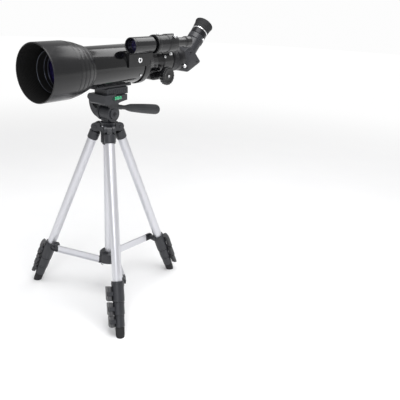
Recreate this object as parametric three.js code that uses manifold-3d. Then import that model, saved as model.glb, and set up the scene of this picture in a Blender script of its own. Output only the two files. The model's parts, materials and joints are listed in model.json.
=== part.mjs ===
// A small refracting telescope on a folding aluminium tripod, in millimetres, +Z up.
// The telescope lies along Y with its objective towards -Y; +X is the side of the finder scope.
// The group is shifted at the end so that its origin is the middle of its footprint on the floor.
import * as THREE from "three";
import { mergeVertices } from "three/addons/utils/BufferGeometryUtils.js";
import Module from "manifold-3d";

const wasm = await Module();
wasm.setup();

// ---- Driving dimensions -------------------------------------------------------------------

const GAP = 0.3; // between pieces that touch or slide

// Tripod stance: three legs hinged on the crown, folded out to their stop.
const LEG_TILT = 22.64; // degrees from the vertical
const LEG_LENGTH = 395; // hinge axis to the floor, along the leg, with every section pushed in
const HINGE_RADIUS = 23; // hinge axis to the tripod's axis
const FIRST_LEG = 51.5; // degrees round from -Y towards +X

// Leg sections, each sliding in the one above, with a flip lock under each of the upper three.
const TUBE_WALL = 0.9;
const TUBE_RADIUS = [9.25, 7.75, 6.35, 5.0];
const LOCK_RADIUS = [12, 10.9, 9.7];
const LOCK_TOP = [105, 65.8, 40.8]; // distance of each lock's top from the floor, along the leg
const LOCK_HEIGHT = [38.8, 24.6, 22.4];
const LEVER_HEIGHT = [27, 23.6, 20.6];
const LEVER_DROP = [9, 0.6, 0.8]; // how far a lever's top sits below its lock's top
const LEVER_TURN = [-90, 0, -30]; // degrees round the leg from straight out, one for each leg
const INNER_TUBE_TOP = [356, 348, 340]; // how far up the inner tubes reach, along the leg
const FOOT_HEIGHT = 18;
const FOOT_RADIUS = 8.5;

// Crown and centre column.
const CROWN_RADIUS = 11.6;
const CROWN_BELOW = 33.56; // the crown's bottom under the leg hinges' axis
const CROWN_ABOVE = 1.44; // its top above that axis
const GUIDE_RADIUS = 9.25;
const GUIDE_BOTTOM = 72;
const COLUMN_RADIUS = 7.7;
const COLUMN_BOTTOM = 90;
const KNOB_AZIMUTH = 231.5; // the column's clamp knob, between two legs

// Spreader: a hub on the guide tube and three channels to the legs.
const HUB_RADIUS = 20.4;
const HUB_HEIGHT = 24;
const HUB_PIVOT_RADIUS = 7;
const HUB_PIVOT_HEIGHT = 82;
const HUB_BOTTOM = 75.5;
const HOOK_RADIUS = 16.6;
const ARM_SIDE = 13.3; // the channel's web stands this far to one side of the leg's middle plane
const ARM_WIDTH = 4;
const ARM_HEIGHT = 15;
const ARM_WALL = 1.3;
const ARM_PIN = 1.5;
const LUG_OUT = -13; // the arm's far end, measured across the leg from its axis

// Pan and tilt head.
const PAN_RADIUS = 15.2;
const TILT_HEIGHT = 27; // the head's heights are measured from the crown's top
const TILT_RADIUS = 15.6;
const DRUM_HALF = 10.5;
const CHEEK = 5.4;
const HANDLE_DROP = 10; // degrees below the horizontal
const HANDLE_SIDE = 10;
const HANDLE_HEIGHT = 40.5;
const GRIP_LENGTH = 95;
const FLIP_SIDE = -27;
const FLIP_HEIGHT = 57.5;
const FLIP_KNOB_HEIGHT = 52.5;
const PLATFORM_BOTTOM = 46.4;
const PLATFORM_HALF = 21.5;
const PLATFORM_FRONT = -28;
const PLATFORM_REAR = 32;
const PLATFORM_TOP = 62.4;
const RELEASE_Y = PLATFORM_REAR - 4.5;
const PLATE_HALF = 17;
const PLATE_FRONT = -18;
const PLATE_REAR = 39;
const PLATE_HEIGHT = 14;

// Telescope.
const TUBE_R = 38;
const FOOT_THICKNESS = 2; // the mounting foot under the lowest line of the tube, with its gap
const AXIS_HEIGHT = PLATFORM_TOP + GAP + PLATE_HEIGHT + FOOT_THICKNESS + TUBE_R;
const TUBE_FRONT = -92.6;
const TUBE_REAR = 66;
const HOOD_FRONT = -167.8;
const HOOD_RADIUS = TUBE_R + 13;
const HOOD_WALL = 2.2;
const LENS_RADIUS = TUBE_R - 3.1;
const FLANGE_RADIUS = TUBE_R + 1.8;
const DRAW_RADIUS = 18;
const BARREL_RADIUS = DRAW_RADIUS + 7.5;
const BARREL_REAR = 168;
const DRAW_FRONT = 64;
const RING_FRONT = 171;
const RING_REAR = 210;
const RING_RADIUS = DRAW_RADIUS + 7;
const NOSE_RADIUS = 15.875; // the common 1.25 inch push fit
const PINION_Y = 130;
const PINION_DROP = DRAW_RADIUS + 8;
const PINION_RADIUS = 6; // pitch radius
const PINION_TEETH = 12;
const KNOB_RADIUS = 18;
const KNOB_INNER = 33;
const KNOB_OUTER = 45;

// Finder scope, above and to the side of the tube.
const FINDER_X = TUBE_R + 2;
const FINDER_H = TUBE_R + 1;
const FINDER_FRONT = 21;
const FINDER_REAR = 197;
const BELL_RADIUS = 15.3;
const FINDER_BODY = 11.6;
const RING_OUTER = 18;
const CLAMP_FRONT = 84;
const CLAMP_REAR = 145;

// Star diagonal and eyepiece.
const BEND_Y = 235; // where the light turns upwards
const PRISM_HALF = 17;
const HOLDER_RADIUS = 18.4;
const HOLDER_TOP = 60; // along the eyepiece's own axis from the bend
const EYE_TOP = 97;

// ---- Finishes -----------------------------------------------------------------------------

const finish = (color, roughness, metalness) =>
  new THREE.MeshStandardMaterial({ color, roughness, metalness });
const plastic = finish(0x2a2b2e, 0.55, 0);
const silver = finish(0xc9cacd, 0.35, 0.9);
const rubber = finish(0x1b1c1e, 0.85, 0);
const gloss = finish(0x0c0d0f, 0.18, 0);
const satin = finish(0x1a1b1e, 0.4, 0);
const chrome = finish(0xd8dadd, 0.12, 1);
const vial = finish(0x2fae5b, 0.1, 0);
const glass = finish(0xa9b4e8, 0.05, 0);

// ---- Geometry helpers ---------------------------------------------------------------------

const rad = THREE.MathUtils.degToRad;

// A closed geometry as a solid that can be joined and cut.
function solid(geometry) {
  const bare = geometry.clone();
  bare.deleteAttribute("normal");
  bare.deleteAttribute("uv");
  const merged = mergeVertices(bare, 1e-4);
  return new wasm.Manifold(
    new wasm.Mesh({
      numProp: 3,
      vertProperties: merged.attributes.position.array,
      triVerts: new Uint32Array(merged.index.array),
    }),
  );
}

function joined(first, ...others) {
  return others.reduce((whole, piece) => whole.add(piece), first);
}

function cut(first, ...others) {
  return others.reduce((whole, piece) => whole.subtract(piece), first);
}

// A mesh of a solid, named and added to its group.
function addPiece(group, name, shape, material) {
  const made = shape.getMesh();
  const geometry = new THREE.BufferGeometry();
  const positions = new Float32Array(made.vertProperties);
  geometry.setAttribute("position", new THREE.BufferAttribute(positions, 3));
  geometry.setIndex(new THREE.BufferAttribute(new Uint32Array(made.triVerts), 1));
  geometry.computeVertexNormals();
  const mesh = new THREE.Mesh(geometry, material);
  mesh.name = name;
  group.add(mesh);
  return mesh;
}

function box(x0, x1, y0, y1, z0, z1) {
  const geometry = new THREE.BoxGeometry(x1 - x0, y1 - y0, z1 - z0);
  return solid(geometry.translate((x0 + x1) / 2, (y0 + y1) / 2, (z0 + z1) / 2));
}

// A round bar along "x", "y" or "z", from a to b; p and q are its other two coordinates in order.
function bar(axis, radius, a, b, p, q, sides = 18) {
  const geometry = new THREE.CylinderGeometry(radius, radius, b - a, sides);
  const middle = (a + b) / 2;
  if (axis === "x") return solid(geometry.rotateZ(-Math.PI / 2).translate(middle, p, q));
  if (axis === "y") return solid(geometry.translate(p, middle, q));
  return solid(geometry.rotateX(Math.PI / 2).translate(p, q, middle));
}

// A turned body about Z. The profile is [radius, height] pairs, closed on the axis or on itself.
function turned(profile, sides = 18) {
  return solid(lathe(profile, sides).rotateX(Math.PI / 2));
}

// The same about the Y axis at x = 0 and the telescope's height.
function turnedAlong(profile, sides = 32) {
  return solid(lathe(profile, sides));
}

function lathe(profile, sides) {
  const onAxis = profile[0][0] === 0;
  const points = onAxis ? profile : [...profile, profile[0]];
  const area = points.reduce((sum, [r, y], i) => {
    const [r2, y2] = points[(i + 1) % points.length];
    return sum + r * y2 - r2 * y;
  }, 0);
  const ordered = area > 0 ? points : [...points].reverse();
  return new THREE.LatheGeometry(ordered.map(([r, y]) => new THREE.Vector2(r, y)), sides);
}

// A ring about Z between two radii and two heights.
function sleeve(inner, outer, z0, z1, sides = 18) {
  return turned([[inner, z0], [outer, z0], [outer, z1], [inner, z1]], sides);
}

// A flat outline in XY as a plate from z0 to z1.
function plate(outline, z0, z1) {
  const shape = outline instanceof THREE.Shape ? outline : new THREE.Shape(outline.map(vector));
  const geometry = new THREE.ExtrudeGeometry(shape, {
    depth: z1 - z0,
    bevelEnabled: false,
    curveSegments: 5,
  });
  return solid(geometry.translate(0, 0, z0));
}

function vector([x, y]) {
  return new THREE.Vector2(x, y);
}

// A plate drawn in (Y, Z), standing from x0 to x1.
function plateYZ(outline, x0, x1) {
  return plate(outline, x0, x1).transform(
    [0, 1, 0, 0, 0, 0, 1, 0, 1, 0, 0, 0, 0, 0, 0, 1],
  );
}

// A plate drawn in (X, Z), standing from y0 to y1.
function plateXZ(outline, y0, y1) {
  return plate(outline, -y1, -y0).transform(
    [1, 0, 0, 0, 0, 0, 1, 0, 0, -1, 0, 0, 0, 0, 0, 1],
  );
}

// A rounded bar outline between two ends, radius r, for a link or a lug.
function link(x0, y0, x1, y1, r) {
  const turn = Math.atan2(y1 - y0, x1 - x0);
  const shape = new THREE.Shape();
  shape.absarc(x1, y1, r, turn - Math.PI / 2, turn + Math.PI / 2, false);
  shape.absarc(x0, y0, r, turn + Math.PI / 2, turn + (3 * Math.PI) / 2, false);
  return shape;
}

function bodyGroup(parent, name, x, y, z) {
  const group = new THREE.Group();
  group.name = name;
  group.position.set(x, y, z);
  parent.add(group);
  return group;
}

// ---- Tripod -------------------------------------------------------------------------------

const tilt = rad(LEG_TILT);
const hingeHeight = LEG_LENGTH * Math.cos(tilt);
const CROWN_BOTTOM = hingeHeight - CROWN_BELOW;
const CROWN_TOP = hingeHeight + CROWN_ABOVE;
const EAR_RADIUS = 8.5;
const HINGE_PIN = 2;
const EAR_HALF = 10.6;
const TONGUE_HALF = 5;
const EAR_BASE = 10.6; // how far below the hinge axis the ears' webs end

const tripod = new THREE.Group();

// Crown casting: the collar round the guide tube, three forked ears and ribs between them.
function crownShape() {
  let shape = turned([
    [GUIDE_RADIUS + GAP, CROWN_BOTTOM],
    [CROWN_RADIUS, CROWN_BOTTOM],
    [CROWN_RADIUS, hingeHeight - EAR_BASE],
    [CROWN_RADIUS + 3.5, hingeHeight - EAR_BASE + 1.5],
    [CROWN_RADIUS + 3.5, CROWN_TOP],
    [GUIDE_RADIUS + GAP, CROWN_TOP],
  ]);
  for (let k = 0; k < 3; k++) {
    const azimuth = FIRST_LEG - 90 - 120 * k;
    const ear = joined(
      bar("y", EAR_RADIUS, -EAR_HALF, EAR_HALF, HINGE_RADIUS, hingeHeight, 24),
      box(GUIDE_RADIUS + 1, HINGE_RADIUS, -EAR_HALF, EAR_HALF,
        hingeHeight - EAR_BASE + 3.5, hingeHeight + EAR_RADIUS - 1.2),
    );
    const slot = box(HINGE_RADIUS - EAR_RADIUS - 1, HINGE_RADIUS + EAR_RADIUS + 5,
      -TONGUE_HALF - GAP, TONGUE_HALF + GAP, hingeHeight - 20, hingeHeight + 20);
    const pin = bar("y", HINGE_PIN, -EAR_HALF + 1, EAR_HALF - 1, HINGE_RADIUS, hingeHeight, 16);
    shape = shape.add(joined(cut(ear, slot), pin).rotate([0, 0, azimuth]));
    const rib = box(CROWN_RADIUS - 1.5, CROWN_RADIUS + 4.5, -1.8, 1.8, CROWN_BOTTOM + 5,
      hingeHeight - EAR_BASE + 3);
    shape = shape.add(rib.rotate([0, 0, azimuth - 60]));
  }
  const bore = bar("z", GUIDE_RADIUS + GAP, CROWN_BOTTOM - 1, CROWN_TOP + 1, 0, 0);
  const headRoom = bar("z", PAN_RADIUS + 0.8, CROWN_TOP, CROWN_TOP + 20, 0, 0);
  const screwHole = bar("x", 2.8, GUIDE_RADIUS - 1, CROWN_RADIUS + 6, 0, CROWN_BOTTOM + 11)
    .rotate([0, 0, KNOB_AZIMUTH - 90]);
  return cut(shape, bore, headRoom, screwHole);
}

addPiece(tripod, "crown", crownShape(), plastic);
const guideTop = CROWN_TOP - 2;
const guideTube = sleeve(COLUMN_RADIUS + GAP, GUIDE_RADIUS, GUIDE_BOTTOM, guideTop);
const guideHole = bar("x", 2.8, COLUMN_RADIUS - 2, GUIDE_RADIUS + 3, 0, CROWN_BOTTOM + 11)
  .rotate([0, 0, KNOB_AZIMUTH - 90]);
addPiece(tripod, "guide_tube", cut(guideTube, guideHole), silver);

// Clamp knob: a short screw through the crown that grips the column.
const clampKnob = bodyGroup(tripod, "column_knob_body", 0, 0, 0);
const knobTurned = turned([
  [0, COLUMN_RADIUS + GAP],
  [2.4, COLUMN_RADIUS + GAP],
  [2.4, CROWN_RADIUS + 5],
  [7.5, CROWN_RADIUS + 5],
  [8.2, CROWN_RADIUS + 6.5],
  [8.2, CROWN_RADIUS + 14],
  [7, CROWN_RADIUS + 15.5],
  [0, CROWN_RADIUS + 15.5],
], 16);
addPiece(clampKnob, "column_knob",
  knobTurned.rotate([0, 90, 0]).translate([0, 0, CROWN_BOTTOM + 11])
    .rotate([0, 0, KNOB_AZIMUTH - 90]), plastic);

// Centre column, which lifts the head.
const column = bodyGroup(tripod, "column_body", 0, 0, 0);
addPiece(column, "centre_column", turned([
  [0, COLUMN_BOTTOM],
  [COLUMN_RADIUS, COLUMN_BOTTOM],
  [COLUMN_RADIUS, CROWN_TOP + GAP],
  [13.4, CROWN_TOP + GAP],
  [13.4, CROWN_TOP + 2.8],
  [5, CROWN_TOP + 2.8],
  [5, CROWN_TOP + 9],
  [0, CROWN_TOP + 9],
]), silver);

// ---- Legs ---------------------------------------------------------------------------------

// In a leg's own frame Z runs up the leg to the hinge, X points outwards and Y sideways.
const up = (fromFloor) => fromFloor - LEG_LENGTH;

// A hollow section tube of the leg.
function legTube(index, bottom, top) {
  const outer = TUBE_RADIUS[index];
  return sleeve(outer - TUBE_WALL, outer, up(bottom), up(top));
}

// Hinge collar: a socket on the top tube with a tongue up into the crown's fork.
function hingeCollar() {
  const tubeTop = LEG_LENGTH - 12;
  const base = LEG_LENGTH - 27.2;
  const socket = turned([
    [TUBE_RADIUS[0] + GAP, up(base)],
    [10.4, up(base)],
    [10.9, up(base + 1.5)],
    [10.9, up(LEG_LENGTH - 11.2)],
    [9.9, up(LEG_LENGTH - 9.9)],
    [0, up(LEG_LENGTH - 9.9)],
    [0, up(tubeTop + GAP)],
    [TUBE_RADIUS[0] + GAP, up(tubeTop + GAP)],
  ]);
  const tongue = plateXZ(link(0, up(LEG_LENGTH - 11), 0, 0, 6.4), -TONGUE_HALF, TONGUE_HALF);
  const stub = cut(tongue, box(-9, 9, -9, 9, -40, up(LEG_LENGTH - 11)));
  const pinHole = bar("y", HINGE_PIN + GAP, -9, 9, 0, 0, 16);
  return cut(joined(socket, stub), pinHole);
}

// Flip lock body: a split collar with an ear that carries its lever.
function lockBody(index, turn) {
  const radius = LOCK_RADIUS[index];
  const top = LOCK_TOP[index];
  const bottom = top - LOCK_HEIGHT[index];
  const upper = TUBE_RADIUS[index] + GAP;
  const lower = TUBE_RADIUS[index + 1] + GAP;
  const seat = bottom + LOCK_HEIGHT[index] * 0.42;
  const collar = turned([
    [lower, up(bottom)],
    [radius - 0.8, up(bottom)],
    [radius, up(bottom + 1)],
    [radius, up(top)],
    [upper, up(top)],
    [upper, up(seat)],
    [lower, up(seat)],
  ]);
  const [pinX, pinY] = leverPin(index);
  const middle = up(leverMiddle(index));
  const ear = joined(
    box(radius - 2.2, pinX, pinY - 3.4, pinY + 3.4, middle - 3.9, middle + 3.9),
    bar("z", 3.4, middle - 3.9, middle + 3.9, pinX, pinY, 12),
  );
  const split = box(radius - 6, radius + 3, -0.7, 0.7, up(bottom) - 1, middle - 5);
  const pinHole = bar("z", 1.7, middle - 6, middle + 6, pinX, pinY, 12);
  const wall = bar("z", upper, up(bottom) - 1, up(top) + 1, 0, 0);
  return cut(joined(collar, cut(ear, wall)), split, pinHole).rotate([0, 0, turn]);
}

const leverPin = (index) => [LOCK_RADIUS[index] + 4.3, 5.4];
const leverMiddle = (index) => LOCK_TOP[index] - LEVER_DROP[index] - LEVER_HEIGHT[index] / 2;

// Flip lever: a cam on a pin along the leg, with a paddle that lies against the collar.
function lever(index, turn) {
  const radius = LOCK_RADIUS[index];
  const [pinX, pinY] = leverPin(index);
  const half = LEVER_HEIGHT[index] / 2;
  const middle = up(leverMiddle(index));
  const outline = new THREE.Shape();
  outline.moveTo(radius + 0.7, pinY - 1);
  outline.lineTo(radius + 0.9, -4);
  outline.lineTo(radius + 6.2, -10);
  outline.lineTo(radius + 10.6, -10.4);
  outline.lineTo(radius + 11, -7);
  outline.lineTo(radius + 8.5, pinY);
  outline.absarc(pinX, pinY, 4.2, 0, Math.PI, false);
  const blank = plate(outline, middle - half, middle + half);
  const notch = box(radius - 1, radius + 12, pinY - 4.4, pinY + 6, middle - 4.3, middle + 4.3);
  const pin = bar("z", 1.35, middle - 5, middle + 5, pinX, pinY, 12);
  const side = link(radius + 3.5, middle - half + 3.5, radius + 3.5, middle + half - 3.5, 7.5);
  const rounding = plateXZ(side, -20, 20);
  return joined(cut(blank.intersect(rounding), notch), pin).rotate([0, 0, turn]);
}

// Lug on the first lock's collar that the spreader arm is riveted beside.
function armLug() {
  const top = LOCK_TOP[0];
  const outline = link(LUG_OUT, up(top), LOCK_RADIUS[0] * -0.5, up(top) - 7, 5);
  const lug = plateXZ(outline, -4, ARM_SIDE - 0.5);
  const clear = bar("z", TUBE_RADIUS[0] + GAP, up(top) - 40, up(top) + 20, 0, 0);
  return cut(lug, clear);
}

// Rubber foot, cut level with the floor, on the smallest tube.
function footSection() {
  const foot = turned([
    [0, up(-6)],
    [FOOT_RADIUS - 1.5, up(-6)],
    [FOOT_RADIUS, up(4)],
    [FOOT_RADIUS + 0.4, up(FOOT_HEIGHT - 1)],
    [FOOT_RADIUS - 0.4, up(FOOT_HEIGHT)],
    [0, up(FOOT_HEIGHT)],
  ]);
  const floorCut = box(-40, 40, -40, 40, -40, 0)
    .rotate([0, LEG_TILT, 0])
    .translate([0, 0, up(0)]);
  const tube = legTube(3, FOOT_HEIGHT - 1, INNER_TUBE_TOP[2]);
  return joined(cut(foot, floorCut), tube);
}

const legNames = ["a", "b", "c"];
legNames.forEach((letter, k) => {
  const turn = LEVER_TURN[k];
  const spoke = bodyGroup(tripod, `leg_${letter}_spoke`, 0, 0, 0);
  spoke.rotation.z = rad(FIRST_LEG - 90 - 120 * k);
  const leg = bodyGroup(spoke, `leg_${letter}_body`, HINGE_RADIUS, 0, hingeHeight);
  leg.rotation.y = -tilt;
  const named = (part) => `leg_${letter}_${part}`;

  addPiece(leg, named("hinge"), hingeCollar(), plastic);
  const sleeveBottom = (index) => LOCK_TOP[index] - LOCK_HEIGHT[index] * 0.58 + GAP;
  addPiece(leg, named("tube_1"), legTube(0, sleeveBottom(0), LEG_LENGTH - 12), silver);
  addPiece(leg, named("lock_1"), joined(lockBody(0, turn), armLug()), plastic);
  addPiece(leg, named("lever_1"), lever(0, turn), plastic);
  addPiece(leg, named("tube_2"), legTube(1, sleeveBottom(1), INNER_TUBE_TOP[0]), silver);
  addPiece(leg, named("lock_2"), lockBody(1, turn), plastic);
  addPiece(leg, named("lever_2"), lever(1, turn), plastic);
  const lastTube = legTube(2, sleeveBottom(2) - GAP - 0.1, INNER_TUBE_TOP[1]);
  addPiece(leg, named("section_3"), joined(lockBody(2, turn), lastTube), plastic);
  addPiece(leg, named("lever_3"), lever(2, turn), plastic);
  addPiece(leg, named("foot_section"), footSection(), rubber);
});

// ---- Spreader -----------------------------------------------------------------------------

const HUB_SLOT = ARM_SIDE + ARM_WIDTH;

// Hub: a thick collar on the guide tube with a slot beside each leg's plane for its arm.
function hubShape() {
  const top = HUB_BOTTOM + HUB_HEIGHT;
  let shape = turned([
    [GUIDE_RADIUS + GAP, HUB_BOTTOM],
    [HUB_RADIUS - 1.5, HUB_BOTTOM],
    [HUB_RADIUS, HUB_BOTTOM + 1.5],
    [HUB_RADIUS, top - 3],
    [HUB_RADIUS - 3, top],
    [GUIDE_RADIUS + GAP, top],
  ], 28);
  for (let k = 0; k < 3; k++) {
    const slot = box(-3.5, HUB_RADIUS + 1, ARM_SIDE - GAP, HUB_SLOT + GAP,
      HUB_BOTTOM - 1, top + 1);
    const pin = bar("y", ARM_PIN, ARM_SIDE - 1, HUB_SLOT + 0.8, HUB_PIVOT_RADIUS, HUB_PIVOT_HEIGHT, 12);
    const azimuth = FIRST_LEG - 90 - 120 * k;
    shape = shape.subtract(slot.rotate([0, 0, azimuth])).add(pin.rotate([0, 0, azimuth]));
  }
  return shape;
}

const hub = bodyGroup(tripod, "hub_body", 0, 0, 0);
addPiece(hub, "spreader_hub", hubShape(), plastic);

// Weight hook: bent wire with a short screwed shank under the hub.
class HookLine extends THREE.Curve {
  getPoint(t, target = new THREE.Vector3()) {
    const turnBack = rad(90 - 270 * t);
    return target.set(5 * Math.cos(turnBack), 0, 5 * Math.sin(turnBack));
  }
}

function hookShape() {
  const wire = new THREE.Shape().absarc(0, 0, 1.2, 0, 2 * Math.PI, false);
  const bent = new THREE.ExtrudeGeometry(wire, {
    steps: 10,
    curveSegments: 3,
    bevelEnabled: false,
    extrudePath: new HookLine(),
  });
  const shank = bar("z", 2.2, 4.2, 8.2, 0, 0, 16);
  return joined(solid(bent), shank).translate([0, 0, HUB_BOTTOM - 8.5]);
}

const hookTurn = rad(FIRST_LEG - 90 - 120);
const hookShift = [HOOK_RADIUS * Math.cos(hookTurn), HOOK_RADIUS * Math.sin(hookTurn), 0];
addPiece(hub, "weight_hook", hookShape().translate(hookShift), chrome);

// Spreader arm: a pressed channel, open to one side, with rounded ends.
const attachRadius =
  HINGE_RADIUS + (LEG_LENGTH - LOCK_TOP[0]) * Math.sin(tilt) + LUG_OUT * Math.cos(tilt);
const attachHeight =
  hingeHeight - (LEG_LENGTH - LOCK_TOP[0]) * Math.cos(tilt) + LUG_OUT * Math.sin(tilt);

function armShape() {
  const rise = attachHeight - HUB_PIVOT_HEIGHT;
  const reach = attachRadius - HUB_PIVOT_RADIUS;
  const r = ARM_HEIGHT / 2;
  const outer = plateXZ(link(0, 0, reach, rise, r), ARM_SIDE, HUB_SLOT);
  const inner = plateXZ(link(0, 0, reach, rise, r - ARM_WALL), ARM_SIDE + ARM_WALL, HUB_SLOT + 1);
  const rivets = [[0, 0], [reach, rise]].map(([x, z]) =>
    bar("y", 3, ARM_SIDE + ARM_WALL / 2, HUB_SLOT - 0.2, x, z, 16));
  const pinHole = bar("y", ARM_PIN + GAP, ARM_SIDE - 1, HUB_SLOT + 1, 0, 0, 12);
  return cut(joined(cut(outer, inner), ...rivets), pinHole);
}

legNames.forEach((letter, k) => {
  const spoke = bodyGroup(tripod, `arm_${letter}_spoke`, 0, 0, 0);
  spoke.rotation.z = rad(FIRST_LEG - 90 - 120 * k);
  const arm = bodyGroup(spoke, `arm_${letter}_body`, HUB_PIVOT_RADIUS, 0, HUB_PIVOT_HEIGHT);
  addPiece(arm, `spreader_arm_${letter}`, armShape(), silver);
});

// ---- Pan and tilt head --------------------------------------------------------------------

const head = new THREE.Group();
head.position.z = CROWN_TOP;
const baseBottom = 2.8 + GAP;

// Pan base: a turned foot on the column with the drum that the head tilts on.
function panBase() {
  const foot = turned([
    [5 + GAP, baseBottom],
    [PAN_RADIUS - 0.8, baseBottom],
    [PAN_RADIUS, baseBottom + 1],
    [PAN_RADIUS, baseBottom + 6],
    [PAN_RADIUS - 1.2, baseBottom + 7],
    [10.2, baseBottom + 7.4],
    [10.2, baseBottom + 11],
    [0, baseBottom + 11],
    [0, 9 + GAP],
    [5 + GAP, 9 + GAP],
  ]);
  const drum = bar("x", TILT_RADIUS - 1.4, -DRUM_HALF, DRUM_HALF, 0, TILT_HEIGHT, 24);
  const stem = box(-DRUM_HALF + 1, DRUM_HALF - 1, -9, 9, baseBottom + 9, TILT_HEIGHT);
  const axle = bar("x", 3.2, -DRUM_HALF - CHEEK - 3, DRUM_HALF + CHEEK + 3, 0, TILT_HEIGHT, 20);
  return joined(foot, drum, stem, axle);
}

const pan = bodyGroup(head, "pan_body", 0, 0, 0);
addPiece(pan, "pan_base", panBase(), plastic);

// Tilt frame: two cheeks beside the drum, a bridge over it, a boss for the handle, and a
// curved arm that carries the flip hinge at the side.
const handleDirection = rad(HANDLE_DROP);

function tiltFrame() {
  const inner = DRUM_HALF + GAP;
  const outer = inner + CHEEK;
  const bridgeTop = PLATFORM_BOTTOM - 1;
  const cheeks = [[-outer, -inner], [inner, outer]].map(([a, b]) =>
    joined(
      bar("x", TILT_RADIUS, a, b, 0, TILT_HEIGHT, 24),
      box(a, b, -9, 10, TILT_HEIGHT, bridgeTop),
    ));
  const bridge = box(-outer, outer, -9, 14, TILT_HEIGHT + TILT_RADIUS - 1.1, bridgeTop);
  const boss = bar("y", 5.4, 4, 19, HANDLE_SIDE, 0, 20)
    .rotate([-HANDLE_DROP, 0, 0])
    .translate([0, 0, HANDLE_HEIGHT]);
  const sweep = new THREE.Shape();
  sweep.moveTo(-inner - 1, TILT_HEIGHT - 11);
  sweep.quadraticCurveTo(-34, TILT_HEIGHT - 8, -39, 38);
  sweep.quadraticCurveTo(-41.5, 46, -40.5, FLIP_HEIGHT + 3.5);
  sweep.lineTo(FLIP_SIDE - 4.8, FLIP_HEIGHT + 3.5);
  sweep.lineTo(FLIP_SIDE - 4.8, 49);
  sweep.quadraticCurveTo(-32, 41, -27, 37);
  sweep.quadraticCurveTo(-22, 33, -inner - 1, 33);
  const arm = plateXZ(sweep, -11, 12);
  const knuckles = [[-11, -6], [7, 12]].map(([a, b]) =>
    joined(
      bar("y", 4.5, a, b, FLIP_SIDE, FLIP_HEIGHT, 20),
      box(FLIP_SIDE - 5.5, FLIP_SIDE, a, b, FLIP_HEIGHT - 4.5, FLIP_HEIGHT + 3.5),
    ));
  const pin = bar("y", 1.9, -10, 11, FLIP_SIDE, FLIP_HEIGHT, 16);
  const axleHole = bar("x", 3.2 + GAP, -outer - 8, outer + 1, 0, TILT_HEIGHT, 20);
  const drumRoom = bar("x", TILT_RADIUS - 1.1, -inner, inner, 0, TILT_HEIGHT, 24);
  const stud = handleBar(3.1 + GAP, 8, 30);
  const screwHole = bar("x", 2 + GAP, -45, FLIP_SIDE - 4, 0, FLIP_KNOB_HEIGHT, 16);
  return cut(joined(...cheeks, bridge, boss, arm, ...knuckles, pin),
    axleHole, drumRoom, stud, screwHole);
}

// A bar along the handle's line, from a to b behind the tilt axis.
function handleBar(radius, a, b, sides = 20) {
  return bar("y", radius, a, b, HANDLE_SIDE, 0, sides)
    .rotate([-HANDLE_DROP, 0, 0])
    .translate([0, 0, HANDLE_HEIGHT]);
}

const tiltBody = bodyGroup(head, "tilt_body", 0, 0, 0);
addPiece(tiltBody, "tilt_frame", tiltFrame(), plastic);

// Pan handle: a steel stud with a tapered, round-ended grip; turning it locks the tilt.
function handleShape() {
  const start = 24;
  const neck = 43;
  const end = neck + GRIP_LENGTH;
  const grip = turnedAlong([
    [0, start - 10],
    [3.1, start - 10],
    [3.1, start],
    [4.3, start + 0.5],
    [4.1, neck - 4],
    [5.2, neck],
    [6.8, neck + 12],
    [8.6, neck + 34],
    [9.8, neck + 62],
    [10.2, end - 14],
    [9.9, end - 7],
    [8.4, end - 2.4],
    [5.2, end - 0.4],
    [0, end],
  ], 20);
  return grip
    .translate([HANDLE_SIDE, 0, 0])
    .rotate([-HANDLE_DROP, 0, 0])
    .translate([0, 0, HANDLE_HEIGHT]);
}

const handle = bodyGroup(head, "handle_body", HANDLE_SIDE, 0, HANDLE_HEIGHT);
addPiece(handle, "pan_handle", handleShape().translate([-HANDLE_SIDE, 0, -HANDLE_HEIGHT]), rubber);

// Flip knob: clamps the platform's hinge.
const flipKnob = bodyGroup(head, "flip_knob_body", 0, 0, 0);
addPiece(flipKnob, "flip_knob", joined(
  bar("x", 6.6, -50.5, -41.4, 0, FLIP_KNOB_HEIGHT, 14),
  bar("x", 2, -42, FLIP_SIDE - 5.4, 0, FLIP_KNOB_HEIGHT, 16),
), plastic);

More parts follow.
